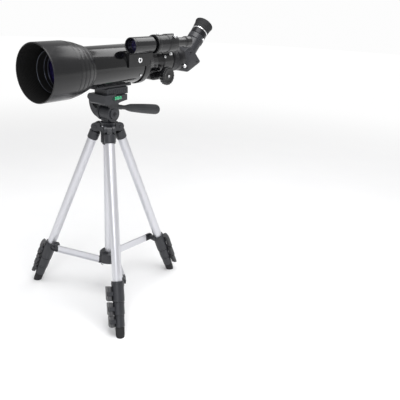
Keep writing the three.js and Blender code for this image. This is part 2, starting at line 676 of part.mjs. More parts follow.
// Platform: a boat-shaped casting with a bed for the quick-release plate.
function platformShape() {
  const keel = new THREE.Shape();
  keel.moveTo(PLATFORM_FRONT, PLATFORM_BOTTOM + 3.6);
  keel.lineTo(PLATFORM_FRONT + 4, PLATFORM_BOTTOM);
  keel.lineTo(4, PLATFORM_BOTTOM);
  keel.lineTo(15, PLATFORM_BOTTOM + 3);
  keel.lineTo(PLATFORM_REAR, PLATFORM_BOTTOM + 5.2);
  keel.lineTo(PLATFORM_REAR, PLATFORM_TOP);
  keel.lineTo(PLATFORM_FRONT, PLATFORM_TOP);
  const block = plateYZ(keel, -PLATFORM_HALF, PLATFORM_HALF);
  const lips = [[-PLATFORM_HALF, -PLATE_HALF - GAP], [PLATE_HALF + GAP, PLATFORM_HALF]].map(
    ([a, b]) => box(a, b, PLATFORM_FRONT, 2, PLATFORM_TOP - 1, PLATFORM_TOP + 3));
  const nose = box(-PLATFORM_HALF, PLATFORM_HALF, PLATFORM_FRONT, PLATE_FRONT - GAP,
    PLATFORM_TOP - 1, PLATFORM_TOP + 3);
  const knuckle = joined(
    bar("y", 4.4, -5.6, 6.6, FLIP_SIDE, FLIP_HEIGHT, 20),
    box(FLIP_SIDE, -PLATFORM_HALF + 1, -5.6, 6.6, FLIP_HEIGHT - 3.6, FLIP_HEIGHT + 4.2),
  );
  const pinHole = bar("y", 1.9 + GAP, -8, 9, FLIP_SIDE, FLIP_HEIGHT, 16);
  const vialRoom = bar("y", 3.9 + GAP, -6.4, 18.4, VIAL_X, VIAL_Z, 24);
  const leverRoom = joined(
    bar("z", 4.2, FLIP_HEIGHT - 2.9, FLIP_HEIGHT + 2.9, 0, RELEASE_Y),
    box(-15, 4.2, RELEASE_Y - 3.3, PLATFORM_REAR + 1, FLIP_HEIGHT - 2.9, FLIP_HEIGHT + 2.9),
  );
  const screwHole = bar("z", 3.6, PLATFORM_BOTTOM - 10, PLATFORM_TOP + 10, 0, 12, 20);
  return cut(joined(block, ...lips, nose, knuckle), pinHole, vialRoom, leverRoom, screwHole);
}

const VIAL_X = 19.4;
const VIAL_Z = FLIP_HEIGHT + 0.1;
const platform = bodyGroup(head, "platform_body", FLIP_SIDE, 0, FLIP_HEIGHT);
const intoPlatform = (shape) => shape.translate([-FLIP_SIDE, 0, -FLIP_HEIGHT]);
addPiece(platform, "platform", intoPlatform(platformShape()), plastic);
addPiece(platform, "bubble_vial", intoPlatform(bar("y", 3.9, -6, 18, VIAL_X, VIAL_Z, 24)), vial);

// Release lever: a finger tab that swings out of the platform's rear edge.
const release = bodyGroup(platform, "release_body", 0, RELEASE_Y, 0);
function releaseShape() {
  const tab = plate(link(0, 0, 0, 10.5, 3.8), FLIP_HEIGHT - 2.5, FLIP_HEIGHT + 2.5);
  return tab.translate([-FLIP_SIDE, 0, -FLIP_HEIGHT]);
}
addPiece(release, "release_lever", releaseShape(), plastic);

// ---- Telescope ----------------------------------------------------------------------------

// Everything from the quick-release plate up belongs to one body on the platform.
const scope = bodyGroup(platform, "scope_body", -FLIP_SIDE, 0, AXIS_HEIGHT - FLIP_HEIGHT);
const plateBottom = PLATFORM_TOP + GAP - AXIS_HEIGHT;
const plateTop = plateBottom + PLATE_HEIGHT;

addPiece(scope, "quick_release_plate", plateYZ([
  [PLATE_FRONT, plateBottom],
  [PLATE_REAR, plateBottom],
  [PLATE_REAR, plateTop - 1.5],
  [PLATE_REAR - 1.5, plateTop],
  [PLATE_FRONT + 1.5, plateTop],
  [PLATE_FRONT, plateTop - 1.5],
], -PLATE_HALF, PLATE_HALF), plastic);

// Mounting foot: a saddle under the tube with a flat base.
addPiece(scope, "mount_foot", cut(
  box(-15, 15, -42, 50, plateTop + GAP, 10 - TUBE_R),
  bar("y", TUBE_R + GAP, -60, 70, 0, 0, 40),
), plastic);

// Optical tube: rolled aluminium, open at both ends.
addPiece(scope, "main_tube", turnedAlong([
  [TUBE_R - 1.3, TUBE_FRONT],
  [TUBE_R, TUBE_FRONT],
  [TUBE_R, TUBE_REAR],
  [TUBE_R - 1.3, TUBE_REAR],
], 40), gloss);

// Dew shield: a wide hood with a stepped rear collar that slides over the tube.
const hood = bodyGroup(scope, "hood_body", 0, 0, 0);
addPiece(hood, "dew_shield", turnedAlong([
  [HOOD_RADIUS - 0.8, HOOD_FRONT],
  [HOOD_RADIUS, HOOD_FRONT + 0.8],
  [HOOD_RADIUS, -108],
  [HOOD_RADIUS - 1.2, -100.5],
  [HOOD_RADIUS - 2.4, -99],
  [TUBE_R + 9.4, -88.4],
  [TUBE_R + 8, -87],
  [TUBE_R + 5.6, -76],
  [TUBE_R + 2.4, -67],
  [TUBE_R + GAP, -66],
  [TUBE_R + GAP, -106.4],
  [TUBE_R + 4, -107.8],
  [HOOD_RADIUS - HOOD_WALL, -107.8],
  [HOOD_RADIUS - HOOD_WALL, HOOD_FRONT],
], 40), satin);

// Objective cell and its doublet, held between two lips.
const CELL_RADIUS = TUBE_R - 0.1;
addPiece(scope, "objective_cell", turnedAlong([
  [LENS_RADIUS - 1.4, -112.4],
  [CELL_RADIUS - 1.2, -112.4],
  [CELL_RADIUS, -111.2],
  [CELL_RADIUS, TUBE_FRONT - GAP],
  [LENS_RADIUS - 1.4, TUBE_FRONT - GAP],
  [LENS_RADIUS - 1.4, -97],
  [LENS_RADIUS + GAP, -97],
  [LENS_RADIUS + GAP, -110.4],
  [LENS_RADIUS - 1.4, -110.4],
], 32), satin);

function lensProfile() {
  const points = [[0, -111.2]];
  for (let i = 1; i <= 4; i++) {
    const r = (LENS_RADIUS * i) / 4;
    points.push([r, -111.2 + (r * r) / (2 * 230)]);
  }
  for (let i = 4; i >= 1; i--) {
    const r = (LENS_RADIUS * i) / 4;
    points.push([r, -97.6 - (r * r) / (2 * 420)]);
  }
  points.push([0, -97.6]);
  return points;
}
addPiece(scope, "objective_lens", turnedAlong(lensProfile(), 32), glass);

// Focuser housing: a ring on the tube's rear, a cone and a barrel that guides the drawtube.
function focuserShape() {
  const body = turnedAlong([
    [TUBE_R - 1.3 - GAP, TUBE_REAR - 14],
    [TUBE_R - 1.3 - GAP, TUBE_REAR + GAP],
    [FLANGE_RADIUS, TUBE_REAR + GAP],
    [FLANGE_RADIUS, TUBE_REAR + 14],
    [TUBE_R - 1.5, TUBE_REAR + 17],
    [BARREL_RADIUS + 5, 100],
    [BARREL_RADIUS + 1.9, 110],
    [BARREL_RADIUS, 118],
    [BARREL_RADIUS, BARREL_REAR - 1],
    [BARREL_RADIUS - 1, BARREL_REAR],
    [DRAW_RADIUS + GAP, BARREL_REAR],
    [DRAW_RADIUS + GAP, 98],
    [TUBE_R - 4, TUBE_REAR],
    [TUBE_R - 4, TUBE_REAR - 14],
  ], 32);
  const block = plateYZ([
    [104, 6 - PINION_DROP],
    [108, -PINION_DROP - 7],
    [116, -PINION_DROP - 10.5],
    [143, -PINION_DROP - 10.5],
    [149, -PINION_DROP - 5],
    [152, 6 - PINION_DROP],
  ], -15, 15);
  const bore = bar("y", DRAW_RADIUS + GAP, 99, BARREL_REAR + 1, 0, 0, 32);
  const rackWay = box(-4.8, 4.8, 88, BARREL_REAR + 1, 4 - PINION_DROP, 4 - DRAW_RADIUS);
  const pinionRoom = bar("x", PINION_RADIUS + 1.5, -5.5, 5.5, PINION_Y, -PINION_DROP, 28);
  const axleHole = bar("x", 3 + GAP, -20, 20, PINION_Y, -PINION_DROP, 20);
  return cut(joined(body, block), bore, rackWay, pinionRoom, axleHole);
}
addPiece(scope, "focuser_housing", focuserShape(), satin);

// Drawtube: the sliding tube with its rack underneath and the wide eyepiece ring behind.
const RACK_LINE = -PINION_DROP + PINION_RADIUS;
const PITCH = (2 * Math.PI * PINION_RADIUS) / PINION_TEETH;

function rackTeeth() {
  const front = DRAW_FRONT + 6;
  const outline = [[front, 1.6 - DRAW_RADIUS], [front, RACK_LINE + 1.1]];
  const first = Math.ceil((front + 2 - PINION_Y) / PITCH);
  for (let n = first; PINION_Y + n * PITCH < 163; n++) {
    const y = PINION_Y + (n + 0.5) * PITCH;
    outline.push([y - 0.95, RACK_LINE + 1.1], [y - 0.35, RACK_LINE - 0.75]);
    outline.push([y + 0.35, RACK_LINE - 0.75], [y + 0.95, RACK_LINE + 1.1]);
  }
  outline.push([168.4, RACK_LINE + 1.1], [168.4, 1.6 - DRAW_RADIUS]);
  return plateYZ(outline, -4.2, 4.2);
}

function drawtubeShape() {
  const tube = turnedAlong([
    [NOSE_RADIUS + GAP, DRAW_FRONT],
    [DRAW_RADIUS, DRAW_FRONT],
    [DRAW_RADIUS, RING_FRONT],
    [RING_RADIUS - 1.5, RING_FRONT],
    [RING_RADIUS, RING_FRONT + 1.5],
    [RING_RADIUS, 201],
    [RING_RADIUS - 1.2, 202],
    [RING_RADIUS - 1.8, RING_REAR],
    [NOSE_RADIUS + GAP, RING_REAR],
  ], 32);
  return joined(tube, rackTeeth());
}
const draw = bodyGroup(scope, "drawtube_body", 0, 0, 0);
addPiece(draw, "drawtube", drawtubeShape(), satin);

// Focus shaft: the pinion on its axle with a knob at each end.
function pinionTeeth() {
  const outline = [];
  for (let n = 0; n < PINION_TEETH; n++) {
    const middle = (2 * Math.PI * n) / PINION_TEETH - Math.PI / 2;
    const halves = [[4.75, 0.2], [6.75, 0.055]];
    const corner = ([r, a], side) =>
      [r * Math.cos(middle + side * a), r * Math.sin(middle + side * a)];
    outline.push(corner(halves[0], -1), corner(halves[1], -1));
    outline.push(corner(halves[1], 1), corner(halves[0], 1));
  }
  return plateYZ(outline, -5, 5);
}

function knobShape(side) {
  const outline = new THREE.Shape();
  const lobes = 18;
  for (let n = 0; n < lobes * 2; n++) {
    const turn = (Math.PI * n) / lobes;
    const r = KNOB_RADIUS - (n % 2) * 0.9;
    if (n === 0) outline.moveTo(r, 0);
    else outline.lineTo(r * Math.cos(turn), r * Math.sin(turn));
  }
  const rim = plateYZ(outline, side > 0 ? KNOB_INNER : -KNOB_OUTER, side > 0 ? KNOB_OUTER : -KNOB_INNER);
  const dish = bar("x", KNOB_RADIUS - 4, side > 0 ? KNOB_OUTER - 1.4 : -KNOB_OUTER - 1,
    side > 0 ? KNOB_OUTER + 1 : -KNOB_OUTER + 1.4, 0, 0, 28);
  const neck = bar("x", 8.5, side > 0 ? 20 : -KNOB_INNER - 1, side > 0 ? KNOB_INNER + 1 : -20, 0, 0, 24);
  return joined(cut(rim, dish), neck);
}

const knobs = bodyGroup(scope, "focus_body", 0, PINION_Y, -PINION_DROP);
addPiece(knobs, "focus_knobs", joined(
  pinionTeeth(),
  bar("x", 3, -34, 34, 0, 0, 20),
  knobShape(1),
  knobShape(-1),
), plastic);

// Finder bracket: a foot on the tube's shoulder and a long clamp ring.
function finderBracket() {
  const foot = cut(
    joined(
      box(FINDER_X - 18, FINDER_X + 1, 17, 75, FINDER_H - 40, FINDER_H - 13),
      box(FINDER_X - 16, FINDER_X + 1, 60, CLAMP_FRONT + 12, FINDER_H - 30, FINDER_H - 13),
    ),
    bar("y", TUBE_R + GAP, 10, 66.5, 0, 0, 40),
    bar("y", FLANGE_RADIUS + GAP, 65.9, 120, 0, 0, 32),
    bar("y", BELL_RADIUS + 0.6, 10, CLAMP_FRONT, FINDER_X, FINDER_H, 24),
  );
  const ring = turnedAlong([
    [FINDER_BODY + 2, CLAMP_FRONT],
    [RING_OUTER - 0.8, CLAMP_FRONT],
    [RING_OUTER, CLAMP_FRONT + 0.8],
    [RING_OUTER, CLAMP_FRONT + 6],
    [RING_OUTER - 1, CLAMP_FRONT + 6.8],
    [RING_OUTER - 1, CLAMP_REAR - 26],
    [RING_OUTER, CLAMP_REAR - 25],
    [RING_OUTER, CLAMP_REAR - 1],
    [RING_OUTER - 1, CLAMP_REAR],
    [FINDER_BODY + 2, CLAMP_REAR],
  ], 24).translate([FINDER_X, 0, FINDER_H]);
  const room = bar("y", FINDER_BODY + 2, CLAMP_FRONT - 1, CLAMP_REAR + 1, FINDER_X, FINDER_H, 24);
  const screws = [45, 165, 285].map((turn) =>
    bar("x", 1.7, FINDER_BODY + GAP, RING_OUTER + 6, CLAMP_REAR - 13, 0, 10)
      .rotate([0, -turn, 0])
      .translate([FINDER_X, 0, FINDER_H]));
  return joined(cut(joined(foot, ring), room), ...screws);
}
addPiece(scope, "finder_bracket", finderBracket(), satin);

// Finder scope: a small straight-through telescope with an open bell in front.
addPiece(scope, "finder_scope", turnedAlong([
  [0, FINDER_FRONT + 16],
  [BELL_RADIUS - 1.8, FINDER_FRONT + 16],
  [BELL_RADIUS - 1.6, FINDER_FRONT],
  [BELL_RADIUS, FINDER_FRONT],
  [BELL_RADIUS, 76],
  [BELL_RADIUS - 1.4, 80],
  [FINDER_BODY, CLAMP_FRONT - 2],
  [FINDER_BODY, CLAMP_REAR + 4],
  [10.2, CLAMP_REAR + 7],
  [9.6, CLAMP_REAR + 28],
  [9.9, FINDER_REAR - 18],
  [11.2, FINDER_REAR - 15],
  [11.2, FINDER_REAR - 1],
  [10.4, FINDER_REAR],
  [7, FINDER_REAR],
  [6, FINDER_REAR - 5],
  [0, FINDER_REAR - 5],
], 24).translate([FINDER_X, 0, FINDER_H]), gloss);

// Diagonal: a nosepiece, a prism housing and a 45 degree holder for the eyepiece.
const alongEyepiece = (shape) => shape.rotate([45, 0, 0]).translate([0, BEND_Y, 0]);

function diagonalShape() {
  const nose = turnedAlong([
    [0, 176],
    [NOSE_RADIUS, 176],
    [NOSE_RADIUS, RING_REAR + GAP],
    [20.5, RING_REAR + GAP],
    [20.5, RING_REAR + 4],
    [17, RING_REAR + 5],
    [17, BEND_Y - 12],
    [0, BEND_Y - 12],
  ], 28);
  const housing = plateYZ([
    [RING_REAR + 4, -20],
    [RING_REAR + 7, -25.5],
    [RING_REAR + 14, -28.5],
    [RING_REAR + 20, -28],
    [270, -11.5],
    [271.6, -8],
    [252.5, 10.5],
    [236, 24],
    [226, 22],
    [RING_REAR + 4, 16],
  ], -PRISM_HALF, PRISM_HALF);
  const holder = alongEyepiece(turnedAlong([
    [NOSE_RADIUS + GAP, 26],
    [16.6, 12],
    [17, 46],
    [HOLDER_RADIUS - 0.6, 47],
    [HOLDER_RADIUS, 48],
    [HOLDER_RADIUS, HOLDER_TOP - 1],
    [HOLDER_RADIUS - 1, HOLDER_TOP],
    [NOSE_RADIUS + GAP, HOLDER_TOP],
  ], 28));
  const bore = alongEyepiece(bar("y", NOSE_RADIUS + GAP, 27, HOLDER_TOP + 1, 0, 0, 28));
  return cut(joined(nose, housing, holder), bore);
}
const diagonal = bodyGroup(draw, "diagonal_body", 0, 0, 0);
addPiece(diagonal, "star_diagonal", diagonalShape(), satin);

// Eyepiece: a barrel in the holder, a body with a bright ring, and a hollow rubber eyecup.
const eyepiece = bodyGroup(diagonal, "eyepiece_body", 0, 0, 0);
addPiece(eyepiece, "eyepiece", alongEyepiece(turnedAlong([
  [0, 36],
  [NOSE_RADIUS, 36],
  [NOSE_RADIUS, HOLDER_TOP + GAP],
  [17.6, HOLDER_TOP + GAP],
  [17.9, HOLDER_TOP + 12],
  [18.3, HOLDER_TOP + 12.6],
  [18.3, HOLDER_TOP + 15.4],
  [17, HOLDER_TOP + 15.8],
  [13.4, HOLDER_TOP + 15.8],
  [13.4, EYE_TOP - 13],
  [0, EYE_TOP - 13],
], 28)), satin);
addPiece(eyepiece, "eyecup", alongEyepiece(turnedAlong([
  [13.4 + GAP, HOLDER_TOP + 15.8 + GAP],
  [18, HOLDER_TOP + 15.8 + GAP],
  [19, HOLDER_TOP + 22],
  [19.4, HOLDER_TOP + 29],
  [20.8, EYE_TOP - 2],
  [20.6, EYE_TOP - 0.4],
  [19.8, EYE_TOP],
  [18.6, EYE_TOP - 0.6],
  [16.6, EYE_TOP - 10],
  [13.4 + GAP, EYE_TOP - 12],
], 28)), rubber);

// ---- Whole object -------------------------------------------------------------------------

const model = new THREE.Group();
model.add(tripod);
model.add(head);
head.add(platform);
const telescopeOnTripod = new THREE.Group();
telescopeOnTripod.name = "telescope_on_tripod";
telescopeOnTripod.add(model);
telescopeOnTripod.updateMatrixWorld(true);
const bounds = new THREE.Box3().setFromObject(telescopeOnTripod, true);
const middle = bounds.getCenter(new THREE.Vector3());
model.position.set(-middle.x, -middle.y, -bounds.min.z);

export default telescopeOnTripod;
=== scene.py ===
"""The looks of a small refracting telescope on a folding tripod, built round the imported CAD."""

import json
import math

import bmesh
import bpy
import numpy as np
from mathutils import Matrix, Vector


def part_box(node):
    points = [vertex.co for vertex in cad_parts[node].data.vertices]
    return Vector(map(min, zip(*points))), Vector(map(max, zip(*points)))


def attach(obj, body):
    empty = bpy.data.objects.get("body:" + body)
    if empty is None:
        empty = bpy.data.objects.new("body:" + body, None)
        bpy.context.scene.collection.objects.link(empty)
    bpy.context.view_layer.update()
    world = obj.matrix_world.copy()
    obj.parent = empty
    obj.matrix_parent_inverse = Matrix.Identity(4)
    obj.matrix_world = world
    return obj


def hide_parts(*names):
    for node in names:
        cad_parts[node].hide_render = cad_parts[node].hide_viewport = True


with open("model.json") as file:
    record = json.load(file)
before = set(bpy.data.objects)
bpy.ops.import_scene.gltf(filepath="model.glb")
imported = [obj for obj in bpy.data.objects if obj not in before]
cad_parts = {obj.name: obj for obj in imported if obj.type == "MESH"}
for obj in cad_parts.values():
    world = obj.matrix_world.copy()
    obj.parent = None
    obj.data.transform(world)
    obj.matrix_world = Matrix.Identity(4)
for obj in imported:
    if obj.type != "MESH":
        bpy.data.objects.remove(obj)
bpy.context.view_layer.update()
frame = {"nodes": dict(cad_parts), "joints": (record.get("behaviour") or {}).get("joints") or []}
MM = 0.001

# ---- Stage ---------------------------------------------------------------------------------
# The tripod stands on a plain pale sweep under three broad, soft lamps: a big box overhead, a
# cooler one in front and one behind for the long highlight on the tube.

guide_low, guide_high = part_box("guide_tube")
TRIPOD = Vector(((guide_low.x + guide_high.x) / 2, (guide_low.y + guide_high.y) / 2, 0))


def surface(name, points, around=False, along=False, uv=None):
    """A mesh from an array of points (rows, columns, 3): each cell of the grid is one four-sided face.
    around closes the last column to the first, along the last row to the first; uv has one pair per point."""
    rows, columns = points.shape[:2]
    i, j = np.meshgrid(np.arange(rows - (not along)), np.arange(columns - (not around)), indexing="ij")
    i, j = i.ravel(), j.ravel()
    down, right = (i + 1) % rows, (j + 1) % columns
    faces = np.stack([i * columns + j, i * columns + right, down * columns + right,
        down * columns + j], 1)
    mesh = bpy.data.meshes.new(name)
    mesh.from_pydata(points.reshape(-1, 3), [], faces)
    if uv is not None:
        corner = np.stack([uv[i, j], uv[i, j + 1], uv[i + 1, j + 1], uv[i + 1, j]], 1)
        mesh.uv_layers.new(name="UVMap").data.foreach_set("uv", corner.astype(np.float32).ravel())
    return mesh


def piece(name, mesh, material, body=None, smooth=40):
    """A finished object: doubles merged, faces turned outwards, shaded smooth up to an angle."""
    work = bmesh.new()
    work.from_mesh(mesh)
    bmesh.ops.remove_doubles(work, verts=work.verts, dist=2e-6)
    bmesh.ops.dissolve_degenerate(work, edges=work.edges, dist=1e-6)
    bmesh.ops.recalc_face_normals(work, faces=work.faces)
    work.to_mesh(mesh)
    work.free()
    mesh.shade_smooth()
    mesh.set_sharp_from_angle(angle=math.radians(smooth))
    made = bpy.data.objects.new(name, mesh)
    bpy.context.scene.collection.objects.link(made)
    mesh.materials.append(material)
    if body:
        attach(made, body)
    return made


class Shade:
    """An output socket of a material's nodes. Arithmetic on it adds Math nodes."""

    def __init__(self, tree, socket):
        self.tree, self.socket = tree, socket

    def node(self, kind, settings=None, inputs=None, out=0):
        made = self.tree.nodes.new(kind)
        for key, value in (settings or {}).items():
            setattr(made, key, value)
        for key, value in (inputs or {}).items():
            if isinstance(value, Shade):
                self.tree.links.new(value.socket, made.inputs[key])
            else:
                made.inputs[key].default_value = value
        return Shade(self.tree, made.outputs[out])

    def math(self, operation, first, second):
        return self.node("ShaderNodeMath", {"operation": operation}, {0: first, 1: second})

    def __add__(self, other):
        return self.math("ADD", self, other)

    __radd__ = __add__

    def __mul__(self, other):
        return self.math("MULTIPLY", self, other)

    __rmul__ = __mul__

    def over(self, threshold, softness):
        """0 below the threshold, 1 above it, with a soft step between."""
        return self.node("ShaderNodeMapRange", {"interpolation_type": "SMOOTHSTEP"},
                         {"Value": self, "From Min": threshold - softness,
                         "From Max": threshold + softness})

    def between(self, low, high):
        """This value, from 0 to 1, as a blend of two colours."""
        mix = self.tree.nodes.new("ShaderNodeMix")
        mix.data_type = "RGBA"
        self.tree.links.new(self.socket, mix.inputs[0])
        for index, value in ((6, low), (7, high)):
            if isinstance(value, Shade):
                self.tree.links.new(value.socket, mix.inputs[index])
            else:
                mix.inputs[index].default_value = value
        return Shade(self.tree, mix.outputs[2])


def material(name, constants):
    """A new material: its Principled shader with these constants, and a Shade on Object coordinates."""
    made = bpy.data.materials.new(name)
    made.use_nodes = True
    shader = made.node_tree.nodes["Principled BSDF"]
    for key, value in constants.items():
        shader.inputs[key].default_value = value
    start = Shade(made.node_tree, None)
    return made, shader, start.node("ShaderNodeTexCoord", out=3)


def feed(shader, **links):
    """Links shades to the shader's sockets; an underscore in a name stands for a space."""
    for key, value in links.items():
        value.tree.links.new(value.socket, shader.inputs[key.replace("_", " ")])


def noise(place, scale, detail=3, roughness=0.5):
    return place.node("ShaderNodeTexNoise", None,
                      {"Vector": place, "Scale": scale, "Detail": detail, "Roughness": roughness})


def bumped(shader, height, distance):
    """A full-strength bump from a height of 0 to 1, this many metres deep."""
    feed(shader, Normal=height.node("ShaderNodeBump", None,
                                    {"Height": height, "Distance": distance, "Strength": 1.0}))


paper, paper_shader, paper_place = material("pale_sweep", {"Roughness": 0.7})
FLOOR_REACH, FLOOR_DROP = 6.0, 0.0002
distance = paper_place.node("ShaderNodeVectorMath", {"operation": "LENGTH"}, {0: paper_place}, out=1)
spread = distance.over(1.5, 0.9)
white_paper = noise(paper_place, 6).between((0.86, 0.86, 0.87, 1), (0.9, 0.9, 0.9, 1))
paper_shader.inputs["Emission Strength"].default_value = 1.0
feed(paper_shader, Base_Color=spread.between(white_paper, (0.0, 0.0, 0.0, 1)),
     Emission_Color=spread.between((0.0, 0.0, 0.0, 1), (0.96, 0.96, 0.96, 1)))
turn, reach = np.meshgrid(np.linspace(0, 2 * math.pi, 97), np.linspace(0, FLOOR_REACH, 7))
floor_points = np.stack([reach * np.cos(turn), reach * np.sin(turn), np.full_like(turn, -FLOOR_DROP)], 2)
floor = piece("floor", surface("floor", floor_points), paper)

world = bpy.data.worlds.new("surroundings")
world.use_nodes = True
backdrop = world.node_tree.nodes["Background"]
seen = Shade(world.node_tree, None).node("ShaderNodeLightPath", out=0)
backdrop.inputs[0].default_value = (1.0, 1.0, 1.0, 1)
SKY_LIGHT, SKY_SEEN = 0.46, 0.52
world.node_tree.links.new((seen * SKY_SEEN + SKY_LIGHT).socket, backdrop.inputs[1])
bpy.context.scene.world = world
bpy.context.scene.view_settings.view_transform = "Standard"


def lamp(name, place, target, size, power, tint=(1, 1, 1)):
    """A soft box, placed and aimed in metres from the foot of the tripod's middle."""
    data = bpy.data.lights.new(name, "AREA")
    data.shape, data.size, data.size_y = "RECTANGLE", size[0], size[1]
    data.energy, data.color = power, tint
    made = bpy.data.objects.new(name, data)
    made.location = TRIPOD + Vector(place)
    aim = TRIPOD + Vector(target) - made.location
    made.rotation_euler = aim.to_track_quat("-Z", "Y").to_euler()
    bpy.context.scene.collection.objects.link(made)


lamp("overhead_box", (0.5, -0.2, 2.0), (0, 0, 0.4), (1.2, 1.8), 38)
lamp("front_box", (1.2, -2.1, 1.3), (0, 0, 0.3), (0.8, 1.1), 15, (0.96, 0.98, 1))
lamp("rear_box", (0.1, 1.9, 2.2), (0, 0, 0.48), (1.9, 0.9), 13)

LENS_LENGTH, SENSOR_WIDTH, CAMERA_ROLL = 52.34, 36, 2.64
CAMERA_AT = Vector((0.80388, -0.79396, 0.63178))
camera_data = bpy.data.cameras.new("camera")
camera_data.lens, camera_data.sensor_width = LENS_LENGTH, SENSOR_WIDTH
camera = bpy.data.objects.new("camera", camera_data)
forward = Vector((-0.5496, 0.7606, -0.3455)).normalized()
level = Vector((0.8106, 0.5857, 0)).normalized()
roll = math.radians(CAMERA_ROLL)
upright = level.cross(forward)
right = level * math.cos(roll) + upright * math.sin(roll)
above = upright * math.cos(roll) - level * math.sin(roll)
camera.matrix_world = Matrix.Translation(TRIPOD + CAMERA_AT) @ Matrix(
    (right, above, -forward)).transposed().to_4x4()
bpy.context.scene.collection.objects.link(camera)
bpy.context.scene.camera = camera

# ---- Optical tube --------------------------------------------------------------------------
# A rolled aluminium tube with smooth gloss black enamel outside and dead black paint inside.
# It is turned here as a thin wall round the optical axis, which runs along Y.

tube_low, tube_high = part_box("main_tube")
AXIS = Vector((TRIPOD.x, TRIPOD.y, (tube_low.z + tube_high.z) / 2))


def aimed(origin, direction):
    """The frame whose Z runs along a direction from a point."""
    return Matrix.Translation(origin) @ Vector(direction).to_track_quat("Z", "Y").to_matrix().to_4x4()


def eased(profile, ease, steps=4):
    """The closed outline with each corner replaced by a short quadratic curve that leaves its
    two edges up to ease before and after the corner. Corners on the axis stay where they are."""
    p = np.array(profile, float)
    back, on = np.roll(p, 1, 0) - p, np.roll(p, -1, 0) - p
    near, far = np.linalg.norm(back, axis=1), np.linalg.norm(on, axis=1)
    cut = np.where(p[:, 0] > 0, np.minimum(ease, 0.4 * np.minimum(near, far)), 0)
    first = p + back * (cut / near)[:, None]
    last = p + on * (cut / far)[:, None]
    t = np.linspace(0, 1, steps)[:, None, None]
    return ((1 - t) ** 2 * first + 2 * t * (1 - t) * p + t**2 * last).transpose(1, 0, 2).reshape(-1, 2)


def turned(name, profile, place, ease=0.5, sides=96, ripple=None):
    """A closed (radius, height) outline in millimetres carried round the Z axis of a frame:
    (r cos a, r sin a, h). ripple(r, h, a) changes the radius. The UV is in metres, round and along."""
    outline = eased(profile, ease)
    outline = np.vstack([outline, outline[:1]])
    a = np.linspace(0, 2 * math.pi, sides + 1)
    r = np.repeat(outline[:, :1], sides + 1, 1)
    h = np.repeat(outline[:, 1:], sides + 1, 1)
    angle = np.repeat(a[None, :], len(outline), 0)
    if ripple:
        r = ripple(r, h, angle)
    flat = np.stack([r * np.cos(angle), r * np.sin(angle), h], 2) * MM
    m = np.array(place)
    points = flat @ m[:3, :3].T + m[:3, 3]
    uv = np.stack([angle * outline[:, 0].max() * MM, h * MM], 2)
    return surface(name, points, uv=uv)


def down_tube(point=(0, 0, 0)):
    """The frame on the optical axis, with Z towards the eyepiece, from a point in millimetres."""
    return aimed(AXIS + Vector(point) * MM, (0, 1, 0))


enamel, enamel_shader, place = material("gloss_black_enamel", {
    "Coat Weight": 0.35, "Coat Roughness": 0.05, "IOR": 1.45})
smear = noise(place, 22, 4, 0.6)
dust = noise(place, 900, 2).over(0.72, 0.02)
feed(enamel_shader, Roughness=smear * 0.08 + 0.1,
     Base_Color=(dust * 0.5).between((0.0025, 0.0025, 0.003, 1), (0.03, 0.03, 0.035, 1)))
bumped(enamel_shader, noise(place, 160, 2), 0.00008)

dead_black, dead_shader, place = material("dead_black", {"Roughness": 0.9, "Specular IOR Level": 0.2})
feed(dead_shader, Base_Color=noise(place, 300).between((0.004, 0.004, 0.004, 1),
    (0.012, 0.012, 0.012, 1)))

TUBE, TUBE_FRONT, TUBE_REAR = 38.0, -92.6, 66.0
tube = piece("enamelled_tube", turned("enamelled_tube", [
    (TUBE - 0.6, TUBE_FRONT), (TUBE, TUBE_FRONT), (TUBE, TUBE_REAR), (TUBE - 0.6, TUBE_REAR)],
    down_tube(), 0.25, 144), enamel, "telescope")
lining = piece("tube_lining", turned("tube_lining", [
    (TUBE - 1.25, TUBE_FRONT + 0.4), (TUBE - 0.7, TUBE_FRONT + 0.4), (TUBE - 0.7, TUBE_REAR - 0.4),
    (TUBE - 1.25, TUBE_REAR - 0.4)], down_tube(), 0.1, 96), dead_black, "telescope")
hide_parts("main_tube")

# ---- Dew shield ----------------------------------------------------------------------------
# A moulded hood of satin black plastic, pushed on over the front of the tube. Its rear steps
# down in ribs to a collar; the inside is ribbed against stray light and dead black.

hood_plastic, hood_shader, place = material("satin_black_plastic", {
    "IOR": 1.45, "Coat Weight": 0.15, "Coat Roughness": 0.15})
cloud = noise(place, 35, 4)
feed(hood_shader, Base_Color=cloud.between((0.005, 0.005, 0.0058, 1), (0.009, 0.009, 0.010, 1)),
     Roughness=cloud * 0.1 + 0.2)
bumped(hood_shader, noise(place, 1500, 2), 0.00003)

HOOD, HOOD_FRONT = 51.0, -167.8
hood = piece("hood_shell", turned("hood_shell", [
    (HOOD - 1.6, HOOD_FRONT), (HOOD, HOOD_FRONT + 0.2), (HOOD, -111), (HOOD - 0.7, -110.4),
    (HOOD - 0.7, -109.4),
    (HOOD - 0.1, -108.6), (HOOD - 1.3, -100.6), (HOOD - 2.6, -99.6), (HOOD - 2.6, -98.2),
    (HOOD - 1.9, -97.4),
    (47.6, -89), (46.1, -88), (46.1, -86.6), (46.7, -85.8), (43.7, -76), (42.7, -75.2), (42.6, -74),
    (43, -73.2), (40.9, -67), (40.2, -66), (38.5, -66), (38.5, -104), (46, -106.6), (HOOD - 1.6, -107.4)],
    down_tube(), 0.6, 160), hood_plastic, "dew_shield")


def ribbed(r, h, a):
    """Fine turned ribs on the inner wall: the radius falls and rises along the axis."""
    return r + 0.25 * np.cos(h * 2 * math.pi / 3.0) * (r < HOOD - 1.9)


